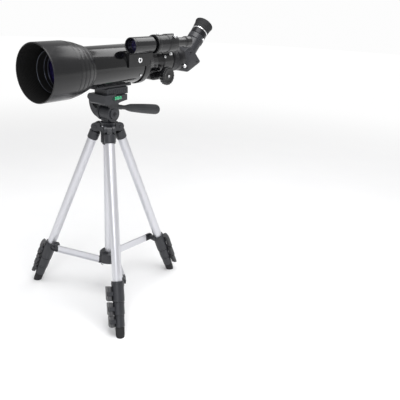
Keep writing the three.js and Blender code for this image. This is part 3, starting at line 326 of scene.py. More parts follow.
hood_inside = piece("hood_lining", turned("hood_lining", [(HOOD - 2.2, HOOD_FRONT + 0.6),
    (HOOD - 1.65, HOOD_FRONT + 0.6),
    (HOOD - 1.65, -107.6)] + [(HOOD - 2.2, y) for y in np.linspace(-107.6, HOOD_FRONT + 1.4, 120)],
    down_tube(), 0.1, 96, ribbed), dead_black, "dew_shield")
hood_lip = piece("hood_lip", turned("hood_lip", [(HOOD - 1.9, HOOD_FRONT - 0.25),
    (HOOD - 0.5, HOOD_FRONT - 0.25),
    (HOOD - 0.3, HOOD_FRONT + 0.6), (HOOD - 1.7, HOOD_FRONT + 0.6)], down_tube(), 0.3, 160),
    hood_plastic, "dew_shield")
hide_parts("dew_shield")

# ---- Objective cell and lens ---------------------------------------------------------------
# The cell is a satin black ring with a threaded retaining ring in front of the glass. The lens
# is a cemented doublet whose front has a blue-violet coating.

cell = piece("lens_cell", turned("lens_cell", [(33.6, -112.4), (36.6, -112.4), (37.9, -111),
    (37.9, -92.9),
    (33.6, -92.9), (33.6, -97), (35.2, -97), (35.2, -110.4), (33.6, -110.4)], down_tube(), 0.35, 128),
    hood_plastic, "telescope")
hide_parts("objective_cell")
retainer_metal, retainer_shader, place = material("dark_anodised_ring", {"Metallic": 0.9})
feed(retainer_shader, Roughness=noise(place, 700, 2) * 0.15 + 0.22,
     Base_Color=noise(place, 60).between((0.10, 0.11, 0.14, 1), (0.16, 0.17, 0.2, 1)))
retainer = piece("retaining_ring", turned("retaining_ring", [(33.2, -113.4), (35.2, -113.6),
    (36.3, -112.7),
    (36.3, -112.2), (33.2, -112.2)], down_tube(), 0.2, 128), retainer_metal, "telescope")
nose_wall = [(34.6 + 0.2 * (i % 2), y) for i, y in enumerate(np.linspace(-132.6, -114.4, 27))]
cell_nose = piece("cell_nose", turned("cell_nose", [(34.8, -112.6), (36.6, -112.6), (37, -113.4),
    (37, -133.8), (36.3, -135),
    (35.2, -135), (34.4, -133.6)] + nose_wall, down_tube(), 0.2, 128), dead_black, "telescope")
for name, radius, front in (("nose_edge", 35.6, -135.5), ("nose_step", 34.1, -121.0)):
    edge_ring = piece(name, turned(name, [(radius, front + 1.0), (radius, front + 0.3),
        (radius + 0.3, front),
        (radius + 0.8, front), (radius + 1.0, front + 1.0)], down_tube(), 0.15, 128),
        retainer_metal, "telescope")
inner_rim = piece("hood_seat_ring", turned("hood_seat_ring", [(40.0, -108.9), (47.6, -108.6),
    (48.4, -107.6),
    (40.0, -107.6)], down_tube(), 0.25, 128), retainer_metal, "dew_shield")

glass, glass_shader, place = material("coated_glass", {
    "Transmission Weight": 0.55, "IOR": 1.62, "Coat Weight": 1.0, "Coat Roughness": 0.02,
    "Coat Tint": (0.62, 0.6, 1.0, 1)})
sheen = noise(place, 30, 2)
feed(glass_shader, Roughness=sheen * 0.03 + 0.01,
     Base_Color=sheen.between((0.03, 0.035, 0.09, 1), (0.07, 0.03, 0.11, 1)))
rim = np.linspace(0, 34.9, 14)
front_face = [(r, -111.2 + r * r / 460) for r in rim]
back_face = [(r, -97.6 - r * r / 840) for r in rim[::-1]]
lens = piece("doublet", turned("doublet", front_face + back_face, down_tube(), 0.2, 96),
    glass, "telescope", 60)
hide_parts("objective_lens")

# ---- Focuser -------------------------------------------------------------------------------
# A moulded housing screwed to the tube's rear: a flange ring, a cone and a barrel, with a
# gear box underneath for the pinion. The drawtube slides in the barrel and ends in a wide ring.

housing = piece("focuser_cone", turned("focuser_cone", [(34, 52), (36.3, 52), (36.3, 66.3), (39.4, 66.3),
    (39.9, 67.2), (39.9, 79.4), (38.9, 80.4), (38.9, 81.6), (36.4, 83.4), (32.6, 93), (30.2, 100.4),
    (29.3, 101.2),
    (29.3, 102.4), (28.6, 103.4), (27.2, 110.6), (25.6, 118), (25.6, 135.6), (26.6, 136.4), (26.6, 142.4),
    (25.6, 143.2), (25.6, 166.8), (25, 168), (18.3, 168), (18.3, 98), (34, 66)], down_tube(), 0.7, 128),
    hood_plastic, "telescope")
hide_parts("focuser_housing")


def copied(name, nodes, finish, body, bevel=0.5, cuts=()):
    """A bevelled copy of CAD nodes: loose triangles merged, flat ones joined, edges rounded. Each cut is a
    plane (point, direction): what lies beyond it is taken away and the opening is closed flat."""
    work = bmesh.new()
    for node in nodes:
        work.from_mesh(frame["nodes"][node].data)
    bmesh.ops.remove_doubles(work, verts=work.verts, dist=1e-6)
    for point, direction in cuts:
        parts = bmesh.ops.bisect_plane(work, geom=[*work.verts, *work.edges, *work.faces], dist=1e-7,
                                       plane_co=point, plane_no=direction, clear_outer=True)
        opening = [part for part in parts["geom_cut"] if isinstance(part, bmesh.types.BMEdge)]
        bmesh.ops.triangle_fill(work, edges=opening, use_beauty=True, normal=direction)
    bmesh.ops.dissolve_limit(work, angle_limit=math.radians(0.6), verts=work.verts, edges=work.edges)
    mesh = bpy.data.meshes.new(name)
    work.to_mesh(mesh)
    work.free()
    mesh.shade_smooth()
    mesh.set_sharp_from_angle(angle=math.radians(34))
    made = bpy.data.objects.new(name, mesh)
    bpy.context.scene.collection.objects.link(made)
    mesh.materials.append(finish)
    rounding = made.modifiers.new("rounding", "BEVEL")
    rounding.width, rounding.segments = bevel * MM, 2
    rounding.limit_method, rounding.angle_limit = "ANGLE", math.radians(34)
    rounding.harden_normals = True
    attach(made, body)
    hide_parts(*nodes)
    return made


def slab(name, outline, x0, x1, finish, body, ease=1.0, place=None):
    """A plate whose (y, z) outline, in millimetres from the optical axis, stands between two x values:
    the eased outline is drawn inwards a little at both faces, so that its edges are rounded."""
    edge = eased(outline, ease, 5)
    middle = edge.mean(0)
    inset = np.array([1.2, 0.6, 0.2, 0.0, 0.0, 0.2, 0.6, 1.2])
    depth = np.array([x0, x0 + 0.2, x0 + 0.6, x0 + 1.2, x1 - 1.2, x1 - 0.6, x1 - 0.2, x1])
    away = edge - middle
    length = np.linalg.norm(away, axis=1, keepdims=True)
    rings = [middle + away * (1 - i / length) for i in inset]
    loops = [np.column_stack([np.full(len(edge), x), ring]) for x, ring in zip(depth, rings)]
    start, end = (np.column_stack([np.full(len(edge), x), np.repeat(middle[None, :], len(edge), 0)])
                  for x in (x0, x1))
    points = np.stack([start, *loops, end])
    points = np.concatenate([points, points[:, :1]], 1) * MM
    m = np.array(place or Matrix.Translation(AXIS))
    return piece(name, surface(name, points @ m[:3, :3].T + m[:3, 3]), finish, body, 35)


gear_box = slab("pinion_box", [(103, -22), (107, -33), (115, -36.6), (144, -36.6), (150, -31),
    (153, -22)],
                -15, 15, hood_plastic, "telescope", 3)

drawn_black, drawn_shader, place = material("black_anodised", {"Metallic": 0.55, "IOR": 1.5})
feed(drawn_shader, Base_Color=noise(place, 50).between((0.010, 0.010, 0.012, 1),
    (0.019, 0.019, 0.022, 1)),
     Roughness=noise(place, 400, 2) * 0.16 + 0.26)
bumped(drawn_shader, noise(place, 1100, 2), 0.00002)


def knurled(pitch, depth, low, high, radius):
    """A wave round the rim, between two heights, on points near a radius."""
    def wave(r, h, a):
        return r + depth * np.cos(a * pitch) * ((h > low) & (h < high) & (r > radius))
    return wave


drawtube = piece("drawtube_ring", turned("drawtube_ring", [(16.2, 64), (18, 64), (18, 171), (23.8, 171),
    (25, 172.2), (25, 176), (24.5, 176.6)] + [(24.5, y) for y in (178, 180, 182, 184, 186,
    188)] + [(24.5, 189.4),
    (25, 190), (25, 201.4), (24.1, 202.4), (23.6, 209.2), (22.8, 210), (16.2, 210)], down_tube(),
    0.35, 180,
    knurled(60, 0.22, 177, 189, 24)), drawn_black, "drawtube")
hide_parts("drawtube")
rack = slab("drawtube_rack", [(70, -20.9), (70, -16.6), (168.4, -16.6), (168.4, -20.9)],
    -4.2, 4.2, drawn_black,
            "drawtube", 0.3)

# ---- Focus knobs ---------------------------------------------------------------------------
# Two big moulded knobs with soft lobes on a steel axle; each has a bright screw in its face.

PINION = AXIS + Vector((0, 130, -26)) * MM
bright, bright_shader, place = material("bright_plated_steel", {"Metallic": 1.0})
feed(bright_shader, Base_Color=noise(place, 90).between((0.74, 0.75, 0.77, 1), (0.9, 0.9, 0.9, 1)),
     Roughness=noise(place, 500, 3) * 0.14 + 0.08)

for side, label in ((1, "near"), (-1, "far")):
    sideways = aimed(PINION, (side, 0, 0))
    knob = piece(f"{label}_focus_knob", turned(f"{label}_focus_knob", [(0, 19), (8, 19), (9.6, 31),
        (15.6, 32.6),
        (17.4, 34), (18, 36), (18, 42), (17.2, 44), (15.4, 45), (13.6, 45), (12.6, 43.9), (6, 43.4),
        (5, 44.2),
        (0, 44.2)], sideways, 0.7, 144, lambda r, h, a: r + 0.45 * np.cos(18 * a) * (r > 15)),
        hood_plastic,
        "focus_shaft")
    cap = piece(f"{label}_knob_screw", turned(f"{label}_knob_screw", [(0, 43.5), (2.7, 43.5), (2.7, 45.1),
        (1.9, 45.6), (1.2, 45.3), (0, 45.2)], sideways, 0.3, 40), bright, "focus_shaft")
    if side == 1:
        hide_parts("focus_knobs")
axle = piece("pinion_axle", turned("pinion_axle", [(0, -20), (2.9, -20), (2.9, -5), (6, -5), (6, 5),
    (2.9, 5),
    (2.9, 20), (0, 20)], aimed(PINION, (1, 0, 0)), 0.2, 72,
    lambda r, h, a: r + 0.7 * np.cos(12 * a) * (r > 4)), bright, "focus_shaft")

# ---- Finder scope and bracket --------------------------------------------------------------
# A small straight-through scope with an open bell, held by three screws in a moulded ring that
# stands on a foot at the tube's shoulder. The ring's nut and screws are plated.

finder_low, finder_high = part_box("finder_scope")
FINDER = Vector(((finder_low.x + finder_high.x) / 2, TRIPOD.y, (finder_low.z + finder_high.z) / 2))
gloss_plastic, gloss_shader, place = material("gloss_black_plastic", {"IOR": 1.5, "Coat Weight": 0.35})
feed(gloss_shader, Roughness=noise(place, 45, 4) * 0.16 + 0.14,
     Base_Color=noise(place, 30).between((0.004, 0.004, 0.005, 1), (0.008, 0.008, 0.009, 1)))
bumped(gloss_shader, noise(place, 500, 2), 0.00004)
finder_frame = aimed(FINDER, (0, 1, 0))
finder = piece("finder_body", turned("finder_body", [(0, 37), (13.5, 37), (13.6, 21.6), (14.4, 21),
    (15.3, 21.6),
    (15.3, 25), (15.0, 25.6), (15.3, 26.4), (15.3, 76), (14.6, 78.6), (13.6, 80), (11.7, 82.4),
    (11.7, 149),
    (10.3, 151.6), (9.6, 156), (9.6, 173), (9.9, 179), (11, 181.6), (11.3, 183), (11.3, 195.4),
    (10.6, 197), (7, 197),
    (6.2, 192.4), (0, 192.4)], finder_frame, 0.5, 112,
    knurled(48, 0.16, 184, 195, 11)), gloss_plastic, "telescope")
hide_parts("finder_scope")
finder_glass = piece("finder_lens", turned("finder_lens", [(0, 35.2), (6, 35.5), (10, 36), (12.6, 36.6),
    (12.6, 36.95), (0, 36.95)], finder_frame, 0.1, 64), glass, "telescope", 60)
finder_eye = piece("finder_eye_lens", turned("finder_eye_lens", [(0, 192.5), (5.6, 192.5), (5.4, 193.2),
    (0, 194)], finder_frame, 0.1, 48), glass, "telescope", 60)

ring = piece("finder_ring", turned("finder_ring", [(13.6, 84), (17, 84), (18, 85), (18, 90.4),
    (17.2, 91.4),
    (16.9, 93), (16.9, 117), (17.4, 118.6), (18.1, 119.4), (18.1, 143.8), (17, 145), (13.6, 145)],
    finder_frame, 0.6, 112), hood_plastic, "telescope")
shoe = copied("finder_shoe", ["finder_bracket"], hood_plastic, "telescope", 0.5,
              [(FINDER + Vector((0, 83.5, 0)) * MM, Vector((0, 1, 0)))])
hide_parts("finder_bracket")


def screw(name, origin, direction, radius, length, body, finish=None, slotted=True):
    """A small turned head: a shank into its hole, a rim, a domed face and a driver recess."""
    head = [(0, -length), (radius * 0.45, -length), (radius * 0.45, 0), (radius * 0.92, 0),
        (radius, 0.35),
            (radius, length * 0.45), (radius * 0.8, length * 0.7), (radius * 0.4, length * 0.78)]
    head += [(radius * 0.34, length * 0.45), (0, length * 0.45)] if slotted else [(0, length * 0.8)]
    made = piece(name, turned(name, head, aimed(origin, direction), 0.25, 48), finish or bright, body)
    return made


for number, degrees in enumerate((45, 165, 285), 1):
    out = Vector((math.cos(math.radians(degrees)), 0, math.sin(math.radians(degrees))))
    base = FINDER + Vector((0, 132, 0)) * MM
    thumb = piece(f"finder_screw_{number}", turned(f"finder_screw_{number}", [(0, 12.2), (1.6, 12.2),
        (1.6, 18.6),
        (3.4, 18.8), (3.6, 19.4), (3.6, 23), (3.0, 23.9), (0, 24.1)], aimed(base, out), 0.3, 60,
        lambda r, h, a: r + 0.18 * np.cos(15 * a) * (r > 3.2)), bright, "telescope")
screw("ring_top_screw", FINDER + Vector((0, 97, 17)) * MM, (0, 0, 1), 2.4, 3.4, "telescope")
NUT = AXIS + Vector((41.0, 46, 11.5)) * MM
nut_ring = piece("shoe_nut", turned("shoe_nut", [(2.3, -2), (4.6, -2), (5.4, -0.2), (5.4, 1.6),
    (4.4, 2.6), (2.9, 2.6),
    (2.3, 1.8)], aimed(NUT, (1, 0, 0)), 0.4, 72), bright, "telescope")
nut_core = piece("shoe_nut_core", turned("shoe_nut_core", [(0, -2), (2.2, -2), (2.2, 1.4), (0, 1.7)],
    aimed(NUT, (1, 0, 0)), 0.3, 36), hood_plastic, "telescope")
screw("flange_screw_low", AXIS + Vector((33.2, 57, -18.4)) * MM, (0.875, 0, -0.485),
    2.6, 2.6, "telescope")
screw("flange_screw_high", AXIS + Vector((-16, 57, 34.4)) * MM, (-0.42, 0, 0.907), 2.6, 2.6, "telescope")
screw("flange_screw_far", AXIS + Vector((-33.2, 57, -18.4)) * MM, (-0.875, 0, -0.485),
    2.6, 2.6, "telescope")
screw("barrel_screw", AXIS + Vector((24.8, 139, 9.6)) * MM, (0.93, 0, 0.36), 2.9, 3.2, "telescope")
ring_screw_at = AXIS + Vector((21.6, 205, -11.4)) * MM
ring_screw = piece("eyepiece_ring_screw", turned("eyepiece_ring_screw", [(0, -4), (1.5, -4),
    (1.5, 1.6), (3.1, 1.8),
    (3.3, 2.4), (3.3, 6.6), (2.7, 7.4), (0, 7.6)], aimed(ring_screw_at, (0.885, 0, -0.466)), 0.3, 60,
    lambda r, h, a: r + 0.16 * np.cos(14 * a) * (r > 2.9)), bright, "drawtube")

# ---- Star diagonal -------------------------------------------------------------------------
# A moulded prism housing whose nose plugs into the drawtube's ring. Its holder points back and
# up at 45 degrees and takes the eyepiece.

BEND = 235.0
BEND_POINT = AXIS + Vector((0, BEND, 0)) * MM
EYE = (0, math.sqrt(0.5), math.sqrt(0.5))
eye_frame = aimed(BEND_POINT, EYE)
charcoal, charcoal_shader, place = material("charcoal_plastic", {"IOR": 1.5})
tone = noise(place, 40, 4)
feed(charcoal_shader, Base_Color=tone.between((0.017, 0.018, 0.022, 1), (0.028, 0.029, 0.034, 1)),
     Roughness=tone * 0.14 + 0.34)
bumped(charcoal_shader, noise(place, 1300, 2), 0.00005)

nose = piece("diagonal_nose", turned("diagonal_nose", [(0, 176), (15.875, 176), (15.875, 210.3),
    (20.5, 210.3),
    (20.5, 214), (17, 215.2), (17, 223), (0, 223)], down_tube(), 0.4, 96), drawn_black, "diagonal")
prism_box = slab("prism_housing", [(213.5, -20), (217, -25.8), (224, -28.6), (230, -28.2), (269.6, -11.9),
    (271.4, -8.4), (252.6, 10.4), (236, 24), (226, 22.4), (213.5, 16)], -17, 17, charcoal, "diagonal",
    1.6)
holder = piece("eyepiece_holder", turned("eyepiece_holder", [(16.2, 26), (16.4, 12), (17, 13),
    (17, 30), (16.7, 30.6),
    (17, 31.2), (17, 45.6), (18, 46.6), (18.4, 47.4), (18.4, 58.8), (17.5, 60), (16.2, 60)],
    eye_frame, 0.5, 112),
    charcoal, "diagonal")
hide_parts("star_diagonal")
side_plate = slab("prism_cover", [(219, -22), (229, -24.4), (262, -11), (250, 3), (236, 16), (224, 14)],
                  -17.5, 17.5, charcoal, "diagonal", 2.4)
for number, (y, z) in enumerate(((224, -20), (259, -9.4), (236, 12)), 1):
    screw(f"prism_screw_{number}", BEND_POINT + Vector((17.4, y - BEND, z)) * MM, (1, 0, 0),
        1.7, 1.4, "diagonal",
          drawn_black)
holder_screw_at = BEND_POINT + Vector((17.6, 53 * math.sqrt(0.5), 53 * math.sqrt(0.5))) * MM
holder_screw = piece("holder_screw", turned("holder_screw", [(0, -1.5), (1.5, -1.5), (1.5, 1.4),
    (2.8, 1.6),
    (3, 2.2), (3, 5.4), (2.4, 6.2), (0, 6.4)], aimed(holder_screw_at, (1, 0, 0)), 0.3, 60,
    lambda r, h, a: r + 0.15 * np.cos(14 * a) * (r > 2.6)), bright, "diagonal")

# ---- Eyepiece ------------------------------------------------------------------------------
# A black barrel with a grip, a bright ring and a soft rubber eyecup round the eye lens.

rubber, rubber_shader, place = material("black_rubber", {"IOR": 1.5, "Specular IOR Level": 0.35})
feed(rubber_shader, Base_Color=noise(place, 70, 4).between((0.010, 0.010, 0.011, 1),
    (0.02, 0.02, 0.022, 1)),
     Roughness=noise(place, 240, 3) * 0.15 + 0.62)
bumped(rubber_shader, noise(place, 900, 3), 0.00006)
barrel = piece("eyepiece_barrel", turned("eyepiece_barrel", [(0, 36), (14.6, 36), (15.875, 37),
    (15.875, 60.3),
    (17.6, 60.3), (17.9, 61), (17.9, 71.6), (13.4, 75.8), (13.4, 84), (0, 84)], eye_frame, 0.4, 120,
    knurled(54, 0.14, 62, 71, 17.4)), drawn_black, "eyepiece")
silver_ring = piece("eyepiece_ring", turned("eyepiece_ring", [(15, 72.6), (18.0, 72.6), (18.5, 73.1),
    (18.5, 75.0),
    (18.1, 75.6), (15, 75.6)], eye_frame, 0.3, 120), bright, "eyepiece")
eye_lens = piece("eye_lens", turned("eye_lens", [(0, 84.1), (11.6, 84.1), (9, 85.2), (5, 86), (0, 86.4)],
    eye_frame, 0.2, 64), glass, "eyepiece", 60)
eyecup = piece("rubber_eyecup", turned("rubber_eyecup", [(13.7, 76.1), (17.8, 76.1), (18.5, 77),
    (18.7, 82), (18.3, 82.8),
    (18.9, 83.6), (19.3, 89), (20.7, 94.8), (20.9, 96), (20.3, 97), (19.4, 97), (18.4, 95.8), (16.6, 87),
    (13.7, 85)], eye_frame, 0.5, 120), rubber, "eyepiece")
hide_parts("eyepiece")
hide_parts("eyecup")

# ---- Camera plate, foot and platform -------------------------------------------------------
# The tube's foot is screwed to a quick-release plate, which drops into a boat-shaped platform.
# The platform carries a green level vial and a finger lever, and flips over on a side hinge.

for name, nodes, body, edge in (
        ("plate_block", ["quick_release_plate"], "telescope", 1.2),
        ("tube_saddle", ["mount_foot"], "telescope", 0.8),
        ("platform_casting", ["platform"], "platform", 1.0),
        ("release_tab", ["release_lever"], "release_lever", 0.6)):
    copied(name, nodes, charcoal, body, edge)
plate_low, plate_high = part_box("quick_release_plate")
for number, y in enumerate(np.linspace(plate_low.y + 0.006, plate_high.y - 0.006, 9), 1):
    height = (plate_high.z - plate_low.z) * 1000
    rib = slab(f"plate_rib_{number}", [(y * 1000 - 1.1, 3), (y * 1000 + 1.1, 3),
        (y * 1000 + 1.1, height - 3),
        (y * 1000 - 1.1, height - 3)], plate_high.x * 1000 - 1.6, plate_high.x * 1000 + 0.5, charcoal,
        "telescope", 0.4,
        Matrix.Translation((0, 0, plate_low.z)))

spirit, spirit_shader, place = material("green_spirit", {
    "Transmission Weight": 0.25, "IOR": 1.45, "Roughness": 0.06, "Coat Weight": 1.0})
feed(spirit_shader, Base_Color=noise(place, 120).between((0.01, 0.42, 0.16, 1), (0.02, 0.55, 0.24, 1)))
vial_low, vial_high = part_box("bubble_vial")
VIAL = Vector(((vial_low.x + vial_high.x) / 2, (vial_low.y + vial_high.y) / 2,
    (vial_low.z + vial_high.z) / 2))
vial_frame = aimed(VIAL, (0, 1, 0))
vial = piece("level_vial", turned("level_vial", [(0, -11.8), (3.2, -11.8), (3.9, -10.6), (3.9, 10.6),
    (3.2, 11.8),
    (0, 11.8)], vial_frame, 0.8, 64), spirit, "platform")
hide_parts("bubble_vial")
marker, marker_shader, place = material("vial_marks", {"Roughness": 0.5})
feed(marker_shader, Base_Color=noise(place, 90).between((0.02, 0.02, 0.02, 1), (0.04, 0.04, 0.04, 1)))
for name, h0, h1, r, finish in (("vial_mark_1", -4.4, -3.8, 4.05, marker), ("vial_mark_2",
    3.8, 4.4, 4.05, marker),
                                ("vial_end_1", -12.2, -9.2, 4.15, charcoal), ("vial_end_2",
                                9.2, 12.2, 4.15, charcoal)):
    band = piece(name, turned(name, [(3.2, h0), (r, h0), (r, h1), (3.2, h1)], vial_frame, 0.12, 64),
        finish, "platform")
bubble_air, air_shader, place = material("air_bubble", {"IOR": 1.2, "Coat Weight": 1.0})
feed(air_shader, Base_Color=noise(place, 80).between((0.55, 0.85, 0.6, 1), (0.65, 0.95, 0.7, 1)),
     Roughness=noise(place, 80) * 0.1 + 0.05)
bubble = piece("level_bubble", turned("level_bubble", [(0, -2.6), (0.9, -2.2), (1.5, 0), (0.9, 2.2),
    (0, 2.6)],
    aimed(VIAL + Vector((1.7, 0, 2.1)) * MM, (0, 1, 0)), 0.5, 32), bubble_air, "platform", 80)

# ---- Pan and tilt head ---------------------------------------------------------------------
# Moulded in the same charcoal plastic: a turned base with a tilt drum, two cheeks with a side
# arm for the flip hinge, a screwed handle with a soft grip, and a knob on the hinge.

for name, nodes, body, edge in (
        ("pan_drum", ["pan_base"], "pan_base", 0.6),
        ("tilt_yoke", ["tilt_frame"], "tilt_frame", 0.8)):
    copied(name, nodes, charcoal, body, edge)
TILT_HEIGHT = 393
TILT = TRIPOD + Vector((0, 0, TILT_HEIGHT)) * MM
for side, label in ((1, "near"), (-1, "far")):
    cap = piece(f"{label}_tilt_cap", turned(f"{label}_tilt_cap", [(0, 16.4), (9.8, 16.4), (10.2, 17),
        (10.2, 18.2),
        (9.2, 19), (4.6, 19.2), (4.2, 18.5), (0, 18.5)], aimed(TILT, (side, 0, 0)), 0.4, 72),
        charcoal, "tilt_frame")
    screw(f"{label}_tilt_screw", TILT + Vector((side * 18.6, 0, 0)) * MM, (side, 0, 0),
        3.2, 1.6, "tilt_frame",
          drawn_black)
flip_low, flip_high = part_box("flip_knob")
FLIP = Vector((0, (flip_low.y + flip_high.y) / 2, (flip_low.z + flip_high.z) / 2))
outer = (TRIPOD.x - flip_low.x) * 1000
knob = piece("flip_hinge_knob", turned("flip_hinge_knob", [(0, 32.6), (2, 32.6), (2, outer - 9.2),
    (5.6, outer - 9.2),
    (6.4, outer - 8.2), (6.6, outer - 1.4), (5.8, outer - 0.2), (0, outer)],
    aimed(Vector((TRIPOD.x, FLIP.y, FLIP.z)), (-1, 0, 0)), 0.5, 84,
    lambda r, h, a: r + 0.3 * np.cos(12 * a) * (r > 5.4)), charcoal, "flip_knob")
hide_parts("flip_knob")

grip_plastic, grip_shader, place = material("soft_grip", {"IOR": 1.48})
feed(grip_shader, Base_Color=noise(place, 45, 4).between((0.018, 0.019, 0.022, 1),
    (0.029, 0.03, 0.034, 1)),
     Roughness=noise(place, 200, 3) * 0.14 + 0.42)
bumped(grip_shader, noise(place, 1600, 2), 0.00006)
handle_joint = next(j for j in frame["joints"] if j["name"] == "handle_twist")
handle_frame = aimed(Vector(handle_joint["pos_m"]), handle_joint["axis"])


def fluted(r, h, a):
    """Long shallow flutes on the grip, which fade in after its neck and out before its end."""
    fade = np.clip((h - 62) / 16, 0, 1) * np.clip((130 - h) / 10, 0, 1)
    return r - 0.28 * fade * (0.5 + 0.5 * np.cos(a * 14)) ** 3


grip_line = [(0, 42), (4.4, 39), (5.4, 43), (7.0, 50)] + [(r, h) for h, r in zip(
    np.linspace(56, 128, 14), 7.9 + 2.5 * np.sin(np.linspace(0, 1, 14) * math.pi / 2))]
grip_line += [(10.2, 132.4), (9.2, 135.6), (6.6, 137.4), (0, 138)]
grip = piece("handle_grip", turned("handle_grip", grip_line, handle_frame, 1.0, 168, fluted),
    grip_plastic,
             "pan_handle", 50)
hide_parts("pan_handle")
stud = piece("handle_stud", turned("handle_stud", [(0, 14), (3.05, 14), (3.05, 40), (0, 40)],
    handle_frame, 0.3, 40),
             bright, "pan_handle")
collar = piece("handle_neck", turned("handle_neck", [(3, 19.4), (4.6, 19.8), (4.8, 27), (4.2, 30),
    (4.4, 39.5), (3, 39.5)],
    handle_frame, 0.5, 64), grip_plastic, "pan_handle")

# ---- Crown, centre column and hub ----------------------------------------------------------
# The crown is a plastic casting with three forked ears. A pale anodised guide tube hangs from
# it, the column slides inside, and the spreader's hub slides outside, with a hook below.

anodised, anodised_shader, place = material("pale_anodised", {"Metallic": 0.75, "IOR": 1.5})
round_tube = place.node("ShaderNodeTexCoord", out=2)
stretched = place.node("ShaderNodeMapping", None, {"Vector": round_tube, "Scale": (3000, 12, 1)})
draw_lines = stretched.node("ShaderNodeTexNoise", None, {"Vector": stretched, "Scale": 1.0, "Detail": 2})
tone = noise(place, 25, 3)
feed(anodised_shader, Roughness=draw_lines * 0.12 + tone * 0.06 + 0.3,
     Base_Color=(draw_lines * 0.6 + tone * 0.4).between((0.60, 0.605, 0.64, 1), (0.74, 0.74, 0.77, 1)))
bumped(anodised_shader, draw_lines, 0.00002)

for name, nodes, body, edge in (
        ("crown_casting", ["crown"], "tripod_crown", 0.8),
        ("hub_casting", ["spreader_hub"], "hub", 0.7),
        ("clamp_screw", ["column_knob"], "column_clamp", 0.7)):
    copied(name, nodes, charcoal, body, edge)
stand = aimed(TRIPOD, (0, 0, 1))
guide = piece("guide_sleeve", turned("guide_sleeve", [(8.0, 72), (9.25, 72), (9.25, 364), (8.0, 364)],
    stand, 0.4, 72),
              anodised, "tripod_crown")
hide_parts("guide_tube")
column = piece("column_tube", turned("column_tube", [(0, 90), (7.7, 90), (7.7, 366.3), (13.4, 366.3),
    (13.4, 368.8),
    (5, 368.8), (5, 375), (0, 375)], stand, 0.4, 72), anodised, "column")
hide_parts("centre_column")
hook_low, hook_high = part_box("weight_hook")
HOOK = Vector(((hook_low.x + hook_high.x) / 2, (hook_low.y + hook_high.y) / 2, hook_low.z + 0.0062))
bend, around = np.meshgrid(np.radians(np.linspace(90, -180, 41)), np.linspace(0, 2 * math.pi, 17),
    indexing="ij")
wire = 1.2 * np.where((bend > bend.max() - 1e-6) | (bend < bend.min() + 1e-6), 0, 1)
hoop = 5 + wire * np.cos(around)
hook_points = np.stack([hoop * np.cos(bend), wire * np.sin(around), hoop * np.sin(bend)],
    2) * MM + np.array(HOOK)
hook = piece("hook_wire", surface("hook_wire", hook_points), bright, "hub", 70)
hook_shank = piece("hook_shank", turned("hook_shank", [(0, 4.2), (2.2, 4.4), (2.2, 8.2), (0, 8.2)],
                   aimed(HOOK, (0, 0, 1)), 0.4, 36), bright, "hub")
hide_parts("weight_hook")

# ---- Legs ----------------------------------------------------------------------------------
# Each leg is four pale anodised tubes, one inside the other. Charcoal locks with flip levers
# hold them, a collar hinges the leg to the crown, and a rubber foot is pushed on its end.

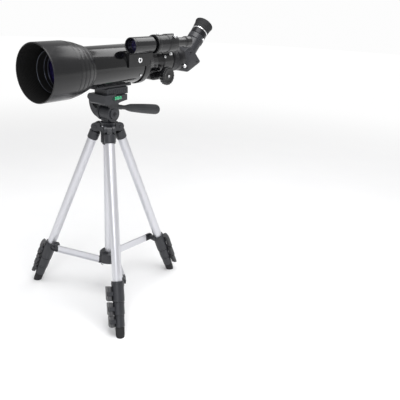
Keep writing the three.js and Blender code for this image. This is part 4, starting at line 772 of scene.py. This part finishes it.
lever_plastic, lever_shader, place = material("lever_plastic", {"IOR": 1.5})
tone = noise(place, 45, 4)
feed(lever_shader, Base_Color=tone.between((0.042, 0.042, 0.045, 1), (0.062, 0.062, 0.065, 1)),
     Roughness=tone * 0.14 + 0.36)
bumped(lever_shader, noise(place, 1200, 2), 0.00005)
LEG, TUBE_WALL = 395.0, 0.9
SHAFT_SIZES = ((9.25, 82.8, 383), (7.75, 51.8, 356), (6.35, 27.7, 348), (5.0, 17, 340))
BAND_SIZES = ((101.5, 12.05), (64.0, 10.95), (39.0, 9.75))
LOCK_3_TOP, BOOT_TOP, HINGE_PIN = 41.2, 18.2, 10.8
joints = {j["name"]: j for j in frame["joints"]}
for letter in "abc":
    hinge = Vector(joints[f"leg_{letter}_fold"]["pos_m"])
    down = Vector(joints[f"leg_{letter}_extend_1"]["axis"]).normalized()
    foot_frame = aimed(hinge + down * LEG * MM, -down)
    bodies = [f"leg_{letter}_{part}" for part in ("upper", "second", "third", "foot")]
    for number, (body, (radius, low, high)) in enumerate(zip(bodies, SHAFT_SIZES), 1):
        name, bore = f"leg_{letter}_shaft_{number}", radius - TUBE_WALL
        shaft = piece(name, turned(name, [(bore, low), (radius, low), (radius, high), (bore, high)],
                                   foot_frame, 0.3, 72), anodised, body)
        if number < 3:
            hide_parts(f"leg_{letter}_tube_{number}")
    collars = [("hinge", [f"leg_{letter}_hinge"], bodies[0]), ("lock_1", [f"leg_{letter}_lock_1"],
        bodies[0]),
               ("lock_2", [f"leg_{letter}_lock_2"], bodies[1])]
    for label, nodes, body in collars:
        copied(f"leg_{letter}_{label}_body", nodes, charcoal, body, 0.6)
    third = copied(f"leg_{letter}_lock_3_body", [f"leg_{letter}_section_3"], charcoal, bodies[2], 0.5,
                   [(hinge + down * (LEG - LOCK_3_TOP) * MM, -down)])
    for number in (1, 2, 3):
        node = f"leg_{letter}_lever_{number}"
        copied(f"leg_{letter}_flip_{number}", [node], lever_plastic, node, 0.7)
    boot = copied(f"leg_{letter}_boot", [f"leg_{letter}_foot_section"], rubber, bodies[3], 0.6,
                  [(hinge + down * (LEG - BOOT_TOP) * MM, -down)])
    for number, (height, radius) in enumerate(BAND_SIZES, 1):
        name = f"leg_{letter}_band_{number}"
        band = piece(name, turned(name, [(radius - 0.6, height - 1.6), (radius + 0.5, height - 1.6),
            (radius + 0.5, height + 0.2), (radius - 0.6, height + 0.2)], foot_frame, 0.3, 64),
            charcoal, bodies[number - 1])
    lateral = Vector(joints[f"leg_{letter}_fold"]["axis"]).normalized()
    for side in (1, -1):
        label = "left" if side > 0 else "right"
        screw(f"leg_{letter}_pin_{label}",
            hinge + lateral * side * HINGE_PIN * MM, lateral * side, 3.4, 1.6,
              "tripod_crown", charcoal)

# ---- Spreader arms -------------------------------------------------------------------------
# Three pressed aluminium channels join the hub to the legs. Both ends of each sit in a dark
# plastic clip, which is riveted through.

HUB_CLIP, LEG_CLIP = 0.010, 0.018
for letter in "abc":
    node, body, joint = f"spreader_arm_{letter}", f"arm_{letter}", joints[f"arm_{letter}_pivot"]
    pivot, across = Vector(joint["pos_m"]), Vector(joint["axis"]).normalized()
    reaches = [v.co - pivot - across * (v.co - pivot).dot(across) for v in frame["nodes"][node].data.vertices]
    tip = max(reaches, key=lambda reach: reach.length)
    along = tip.normalized()
    inner_end, outer_end = pivot + along * HUB_CLIP, pivot + tip - along * LEG_CLIP
    for label, finish, slot, cuts in (
            ("channel", anodised, "anodised_aluminium", [(inner_end, -along), (outer_end, along)]),
            ("hub_clip", charcoal, "charcoal_plastic", [(inner_end, along)]),
            ("leg_clip", charcoal, "charcoal_plastic", [(outer_end, -along)])):
        copied(f"spreader_{label}_{letter}", [node], finish, body, 0.4, cuts)
